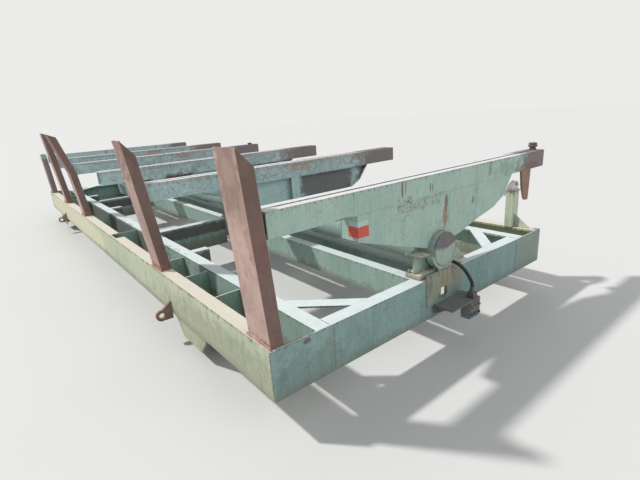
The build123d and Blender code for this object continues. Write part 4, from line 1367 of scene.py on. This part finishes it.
@dataclass
class Deck(Part):
    """Torque tube, arms, levers, hooks and log stops, with their welds."""

    arm_half: float = ARM_HALF
    arm_back: float = -0.785
    arm_low: float = 1.10
    arm_top: float = 1.24
    belly: tuple[tuple[float, float], ...] = (
        (-0.76, 1.10), (-0.76, 0.94), (-0.12, 0.743), (0.15, 0.750), (0.265, 0.768), (0.47, 0.825),
        (0.72, 0.877), (0.85, 0.940), (0.98, 1.10),
    )
    belly_seams: tuple[tuple[float, float], ...] = ((0.125, 0.85), (0.46, 0.826))
    plate_half: float = 0.0125
    plate_seams: tuple[tuple[tuple[float, float], ...], ...] = (
        ((-0.745, 1.10), (0.95, 1.10)),
        ((-0.745, 0.957), (-0.16, 0.776)),
        ((0.20, 0.780), (0.46, 0.8385), (0.70, 0.8865)),
    )
    tube: tuple[float, float] = TUBE
    tube_radius: float = 0.12225
    arm_arc: tuple[float, float] = (14.0, 166.0)
    stops: tuple[tuple[float, float], ...] = ((1.458, -3.87), (1.26, 0.8))
    stop_radius: float = 0.031
    hook_ends: tuple[float, float] = (1.152, 1.295)
    hook_plate: float = 0.02

    def dress(self) -> None:
        """Puts the finishes on the deck and makes every piece of it."""
        for number in range(1, len(STATIONS) + 1):
            self.coat(f"arm_{number}_paint", f"arm_{number}")
        self.coat("tube_paint", "torque_tube")
        self.coat("disc_paint", "tube_discs")
        self.coat("lever_paint", "levers")
        self.coat("hook_steel", "hook_plates")
        self.coat("stop_steel", "log_stops")
        self.end_arm_welds()
        self.middle_arm_welds()
        self.tube_welds()
        self.stop_welds()

    def end_arm_welds(self) -> None:
        """Welds the box bellies of the end arms."""
        shape = Shape(self.rng)
        low, high, back = self.arm_low, self.arm_top, self.arm_back
        for y in (STATIONS[0], STATIONS[-1]):
            for side in (-1, 1):
                face = y + side * self.arm_half
                shape.bead([(self.belly[end][0], face, low) for end in (0, -1)], Bead.SEAL)
                shape.bead([(back, face, low + 0.006), (back, face, high - 0.006)], Bead.FINE)
                for x, z in self.belly_seams:
                    shape.bead([(x, face, z), (x, face, low)], Bead.HAIR)
                for half in (self.belly[:3], self.belly[3:]):
                    edge = [(x, face - side * 0.001, z + 0.001) for x, z in half]
                    shape.bead(edge, Bead.SLIM)
        shape.piece("weld_end_arms", self.finishes["arm_1_paint"], Body.DECK, Slot.PAINT)

    def middle_arm_welds(self) -> None:
        """Welds the plates and strips of the middle arms."""
        shape = Shape(self.rng)
        for y in STATIONS[1:-1]:
            for face in (y - self.plate_half, y + self.plate_half):
                for seam in self.plate_seams:
                    shape.bead([(x, face, z) for x, z in seam], Bead.FULL, Bead.COARSE_RIPPLE)
        shape.piece("weld_middle_arms", self.finishes["weld_metal"], Body.DECK, Slot.PAINT)

    def tube_welds(self) -> None:
        """Welds the arms round the torque tube and the discs on its ends."""
        shape = Shape(self.rng)
        x, z = self.tube
        for y in STATIONS:
            for face in (y - self.arm_half, y + self.arm_half):
                shape.ring_bead((x, face, z), (0, 1, 0), self.tube_radius + 0.001, Bead.BROAD,
                                *self.arm_arc)
        for y in (-HALF_LENGTH, HALF_LENGTH):
            shape.ring_bead((x, y, z), (0, 1, 0), self.tube_radius - 0.005, Bead.SLIM)
        shape.piece("weld_torque_tube", self.finishes["weld_metal"], Body.DECK, Slot.PAINT)

    def stop_welds(self) -> None:
        """Welds the log stops and the hook plates to the arms."""
        shape = Shape(self.rng)
        for x, y in self.stops:
            shape.ring_bead((x, y, self.arm_top), (0, 0, 1), self.stop_radius, Bead.THIN)
        for side, y in ((-1, STATIONS[0]), (1, STATIONS[-1])):
            for half in (self.arm_half, self.arm_half - self.hook_plate):
                shape.bead([(x, y + side * half, self.arm_low) for x in self.hook_ends], Bead.THIN)
        shape.piece("weld_log_stops", self.finishes["weld_metal"], Body.DECK, Slot.RUST)


@dataclass
class Posts(Part):
    """Posts beside the end arms with their pawls."""

    middle_x: float = 1.395
    half_x: float = 0.050
    middle_y: float = 3.7505
    half_y: float = 0.035
    floor: float = BEAM_TOP
    head: float = 0.875
    cap_top: float = 0.887
    gusset: tuple[float, float] = (0.150, 0.120)
    gusset_half: float = 0.005
    pivot: tuple[float, float] = (1.412, 0.937)
    pawl_half: float = 0.02
    pawl_reach: float = 0.053

    def dress(self) -> None:
        """Puts the paint on the posts and makes their welds and pivot bolts."""
        self.coat("post_paint", "stop_posts")
        self.coat("pawl_paint", "pawls")
        welds, bolts, pawls = Shape(self.rng), Shape(self.rng), Shape(self.rng)
        reach, height = self.gusset
        x0, x1 = self.middle_x - self.half_x, self.middle_x + self.half_x
        for end in (-1, 1):
            y = end * self.middle_y
            y0, y1 = y - self.half_y, y + self.half_y
            for z, inset, radius, pitch in (
                    (self.floor, 0.0, Bead.HEAVY, Bead.SHORT_RIPPLE),
                    (self.head, 0.003, Bead.SLIM, Bead.COARSE_RIPPLE)):
                welds.bead([(x0 + inset, y0 + inset, z), (x1 - inset, y0 + inset, z),
                            (x1 - inset, y1 - inset, z), (x0 + inset, y1 - inset, z)],
                           radius, pitch, loop=True)
            near = y + end * self.half_y
            for x in (self.middle_x - self.gusset_half, self.middle_x + self.gusset_half):
                welds.bead([(x, near, self.floor + height - 0.004), (x, near, self.floor),
                            (x, near + end * (reach - 0.008), self.floor)], Bead.THIN)
            for side in (-1, 1):
                pawls.bead([(self.middle_x + step * self.pawl_reach, y + side * self.pawl_half,
                             self.cap_top) for step in (-1, 1)])
            for side in (-1, 1):
                bolts.bolt((self.pivot[0], y + side * self.pawl_half, self.pivot[1]), (0, side, 0),
                           stub=0.008 if side > 0 else 0.0)
        welds.piece("weld_stop_posts", self.finishes["weld_metal"], Body.FRAME, Slot.PAINT)
        pawls.piece("weld_pawls", self.finishes["cream_weld"], Body.FRAME, Slot.GREY)
        bolts.piece("pawl_pivot_bolts", self.finishes["bolt_zinc"], Body.FRAME, Slot.WHEEL)


@dataclass
class Wheels(Part):
    """Flanged wheels with their axles, and the bolts in the axles' inner ends."""

    centre_x: float = 1.25
    station: float = WHEEL_STATION
    height: float = 0.175
    bolt_offset: float = 0.016
    bolt_size: float = 0.008

    def dress(self) -> None:
        """Puts the finishes on the wheels and makes the bolts in the axles' ends."""
        for end_name, end in (("near", -1), ("far", 1)):
            for side_name, side in (("left", -1), ("right", 1)):
                name = f"{end_name}_{side_name}"
                centre = (side * self.centre_x, end * self.station, self.height)
                self.finishes.add(Tread(f"wheel_{name}_steel", centre))
                self.coat(f"wheel_{name}_steel", f"wheel_{name}")
                self.coat("axle_steel", f"axle_{name}")
                low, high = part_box(f"axle_{name}")
                face = high.x if side < 0 else low.x
                shape = Shape(self.rng)
                for step in (-1, 1):
                    shape.bolt((face, centre[1] + step * self.bolt_offset, self.height),
                               (-side, 0, 0), self.bolt_size)
                shape.piece(f"axle_bolts_{name}", self.finishes["bolt_zinc"], Body(f"wheel_{name}"),
                            Slot.WHEEL)


@dataclass
class TiltCylinders(Part):
    """Two hydraulic cylinders that tilt the deck."""

    foot: tuple[float, float] = (0.4, 0.38)
    head: tuple[float, float] = (0.48, 0.77)
    station: float = 2.24
    barrel_radius: float = 0.045
    ports: tuple[float, float] = (0.075, 0.185)
    rings: tuple[Point, ...] = ((0.044, 0.026, Bead.BROAD), (0.2005, 0.0455, Bead.SLIM))

    def dress(self) -> None:
        """Puts the finishes on the cylinders and makes their ports and welds."""
        run = Vector((self.head[0] - self.foot[0], 0, self.head[1] - self.foot[1])).normalized()
        across = Vector((run.z, 0, -run.x))
        for name, y, barrel in (("near", -self.station, Body.BARREL_NEAR),
                                ("far", self.station, Body.BARREL_FAR)):
            self.coat("barrel_paint", f"barrel_{name}")
            self.coat("rod_chrome", f"rod_{name}")
            foot = Vector((self.foot[0], y, self.foot[1]))
            ports, rings = Shape(self.rng), Shape(self.rng)
            for distance in self.ports:
                seat = foot + run * distance + across * (self.barrel_radius - 0.002)
                for sides, profile in ((20, [(0, 0.015), (0.010, 0.015), (0.011, 0.014)]),
                                       (6, [(0.010, 0.0125), (0.022, 0.0125), (0.023, 0.0115)]),
                                       (20, [(0.022, 0.009), (0.036, 0.009), (0.037, 0.008)])):
                    ports.turn(seat, across, profile, sides)
            for distance, radius, bead in self.rings:
                rings.ring_bead(foot + run * distance, run, radius, bead)
            ports.piece(f"cylinder_ports_{name}", self.finishes["fitting_steel"], barrel, Slot.ROD)
            rings.piece(f"cylinder_welds_{name}", self.finishes["weld_metal"], barrel, Slot.GREY)


@dataclass
class Valve(Part):
    """Valve block under its shelf in front of the near end beam, and the hose that feeds it."""

    block: tuple[Point, Point] = ((0.075, -4.165, 0.205), (0.205, -4.095, 0.333))
    section: float = 0.037
    port: Point = (0.155, -4.130, 0.345)
    port_half: float = 0.025
    port_top: float = 0.395
    gland: Point = (0.120, -3.926, 0.592)
    shelf: tuple[float, float, float] = (-0.130, 0.205, 0.333)
    rib_faces: tuple[float, ...] = (-0.120, -0.110, 0.055, 0.065)
    rib_height: float = 0.056
    rib_reach: float = 0.105
    face: float = -4.01

    def dress(self) -> None:
        """Puts the finishes on the block and the hose and makes their small parts."""
        self.coat("valve_paint", "valve_block")
        self.coat("hose_rubber", "feed_hose")
        self.sections()
        self.fittings()
        self.welds()

    def sections(self) -> None:
        """Makes the block's sections with their tie bolts, plugs and spool caps."""
        (x0, y0, z0), (x1, y1, z1) = self.block
        plates, bolts, plugs, brass = (Shape(self.rng) for _ in range(4))
        width = self.section
        front = y0 - 0.005
        for k in range(3):
            left = x0 + 0.005 + k * (width + 0.0035)
            plates.block((left, front, z0 + 0.010), (left + width, y0 + 0.002, z1 - 0.008), 0.002)
            middle = left + width / 2
            plugs.turn((middle, front, z0 + 0.034), (0, -1, 0),
                       [(0, 0.012), (0.009, 0.012), (0.010, 0.011)], sides=6)
            brass.turn((middle, front, z1 - 0.034), (0, -1, 0),
                       [(0, 0.010), (0.008, 0.010), (0.009, 0.009), (0.0095, 0.0055),
                        (0.015, 0.0055), (0.016, 0.005)])
        for y in (y0 + 0.016, y1 - 0.016):
            for z in (z0 + 0.020, z1 - 0.020):
                for x, way in ((x0, -1), (x1, 1)):
                    bolts.bolt((x, y, z), (way, 0, 0), 0.008, stub=0.005)
        x, y, z = self.port
        for offset in (-0.045, 0.035):
            bolts.bolt((x + offset, y + 0.05, z), (0, 0, 1), 0.010)
        plates.piece("valve_sections", self.finishes["valve_paint"], Body.FRAME, Slot.GREY)
        bolts.piece("valve_tie_bolts", self.finishes["bolt_zinc"], Body.FRAME, Slot.WHEEL)
        plugs.piece("valve_plugs", self.finishes["fitting_steel"], Body.FRAME, Slot.ROD)
        brass.piece("valve_spool_caps", self.finishes["brass"], Body.FRAME, Slot.ROD)

    def fittings(self) -> None:
        """Makes the crimped ferrules and nuts on the hose's ends, and the port block's plugs."""
        shape = Shape(self.rng)
        x, y, _ = self.port
        crimp = [(0.004, 0.0150), (0.007, 0.0165), (0.012, 0.0165), (0.014, 0.0150),
                 (0.018, 0.0150), (0.020, 0.0165), (0.026, 0.0165), (0.028, 0.0150),
                 (0.031, 0.0140)]
        port, gland = ((x, y, self.port_top), (0, 0, 1)), (self.gland, (0, -1, 0))
        for (seat, way), nut in (
                (port, [(-0.006, 0.020), (0.004, 0.020), (0.006, 0.018)]),
                (gland, [(-0.010, 0.020), (0.002, 0.020), (0.004, 0.018)])):
            shape.turn(seat, way, nut, sides=6)
            shape.turn(seat, way, crimp)
        for side in (-1, 1):
            seat = (x + side * self.port_half, y, self.port[2] + 0.02)
            shape.turn(seat, (side, 0, 0), [(0, 0.013), (0.003, 0.013), (0.0031, 0.0105),
                                            (0.010, 0.0105), (0.0115, 0.009)], sides=6)
        shape.piece("hose_fittings", self.finishes["fitting_steel"], Body.FRAME, Slot.ROD)

    def welds(self) -> None:
        """Welds the shelf and its ribs to the end beam."""
        shape = Shape(self.rng)
        left, right, low = self.shelf
        for z in (low, self.port[2]):
            shape.bead([(left + 0.004, self.face, z), (right - 0.004, self.face, z)], Bead.FULL)
        for x in self.rib_faces:
            shape.bead([(x, self.face, low - self.rib_height), (x, self.face, low),
                        (x, self.face - self.rib_reach, low)], Bead.SLIM)
        shape.piece("weld_valve_shelf", self.finishes["weld_metal"], Body.FRAME, Slot.GREY)


class Studio:
    """Floor, light and camera.

    Lamps have a direction, a strength and a spread in degrees. Turn is the camera's yaw, pitch
    and roll in radians.
    """

    sky: Tint = (226, 230, 236)
    sky_strength: float = 0.66
    floor_tint: Tint = (204, 203, 199)
    backdrop: Tint = (236, 236, 234)
    lamps: tuple[tuple[str, Point, float, float], ...] = (
        ("key", (0.6, -0.67, -1.0), 3.0, 3.0),
        ("fill", (-0.25, 0.85, -0.55), 0.55, 40.0),
        ("back", (-0.6, -0.6, -0.6), 0.25, 40.0),
    )
    eye: Point = (-2.3494, -5.6313, 1.6746)
    turn: Point = (0.6591, 0.2955, -0.0677)
    lens: float = 23.43
    sensor: float = 36.0
    farthest: float = 400.0

    def floor(self) -> None:
        """Makes the pale floor."""
        bpy.ops.mesh.primitive_plane_add(size=160.0, location=(0.0, 0.0, 0.0))
        plane = bpy.context.object
        plane.name = "studio_floor"
        shader = {"Base Color": linear(self.floor_tint), "Roughness": 0.9}
        plane.data.materials.append(Graph("studio_floor").finish(shader))

    def world(self) -> None:
        """Makes the soft light from all round."""
        world = bpy.data.worlds.new("studio_world")
        bpy.context.scene.world = world
        world.use_nodes = True
        tree = world.node_tree
        light = tree.nodes["Background"]
        light.inputs[0].default_value = linear(self.sky)
        light.inputs[1].default_value = self.sky_strength
        pale = tree.nodes.new("ShaderNodeBackground")
        pale.inputs[0].default_value = linear(self.backdrop)
        choice = tree.nodes.new("ShaderNodeMixShader")
        seen = tree.nodes.new("ShaderNodeLightPath").outputs["Is Camera Ray"]
        tree.links.new(seen, choice.inputs[0])
        tree.links.new(light.outputs[0], choice.inputs[1])
        tree.links.new(pale.outputs[0], choice.inputs[2])
        tree.links.new(choice.outputs[0], tree.nodes["World Output"].inputs[0])

    def lamp(self, name: str, toward: Point, strength: float, spread: float) -> None:
        """Adds a distant lamp.

        Args:
            name: name of the lamp.
            toward: direction in which its light goes.
            strength: its strength.
            spread: how wide it looks, in degrees, which softens its shadows.
        """
        data = bpy.data.lights.new(name, "SUN")
        data.energy = strength
        data.angle = math.radians(spread)
        lamp = bpy.data.objects.new(name, data)
        lamp.rotation_euler = Vector(toward).to_track_quat("-Z", "Y").to_euler()
        bpy.context.scene.collection.objects.link(lamp)

    def camera(self) -> None:
        """Sets the camera where the photograph was taken from."""
        data = bpy.data.cameras.new("photo_camera")
        data.sensor_width, data.lens, data.clip_end = self.sensor, self.lens, self.farthest
        camera = bpy.data.objects.new("photo_camera", data)
        yaw, pitch, roll = self.turn
        flat = math.cos(pitch)
        ahead = Vector((math.sin(yaw) * flat, math.cos(yaw) * flat, -math.sin(pitch)))
        level = Vector((math.cos(yaw), -math.sin(yaw), 0.0))
        over = level.cross(ahead)
        right = math.cos(roll) * level + math.sin(roll) * over
        up = -math.sin(roll) * level + math.cos(roll) * over
        turned = Matrix((right, up, -ahead)).transposed().to_4x4()
        camera.matrix_world = Matrix.Translation(self.eye) @ turned
        bpy.context.scene.collection.objects.link(camera)
        bpy.context.scene.camera = camera

    def build(self) -> None:
        """Makes the whole studio."""
        self.camera()
        self.floor()
        self.world()
        for lamp in self.lamps:
            self.lamp(*lamp)
        bpy.context.scene.view_settings.view_transform = "Standard"


def main() -> None:
    """Dresses the wagon."""
    logging.basicConfig(level=logging.INFO, format="%(message)s")
    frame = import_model()
    rng = random.Random(SEED)
    Studio().build()
    finishes = Finishes()
    for part in (Frame, Stakes, Bearings, Deck, Posts, Wheels, TiltCylinders, Valve):
        part(finishes, frame["nodes"], rng).dress()


if __name__ == "__main__":
    main()
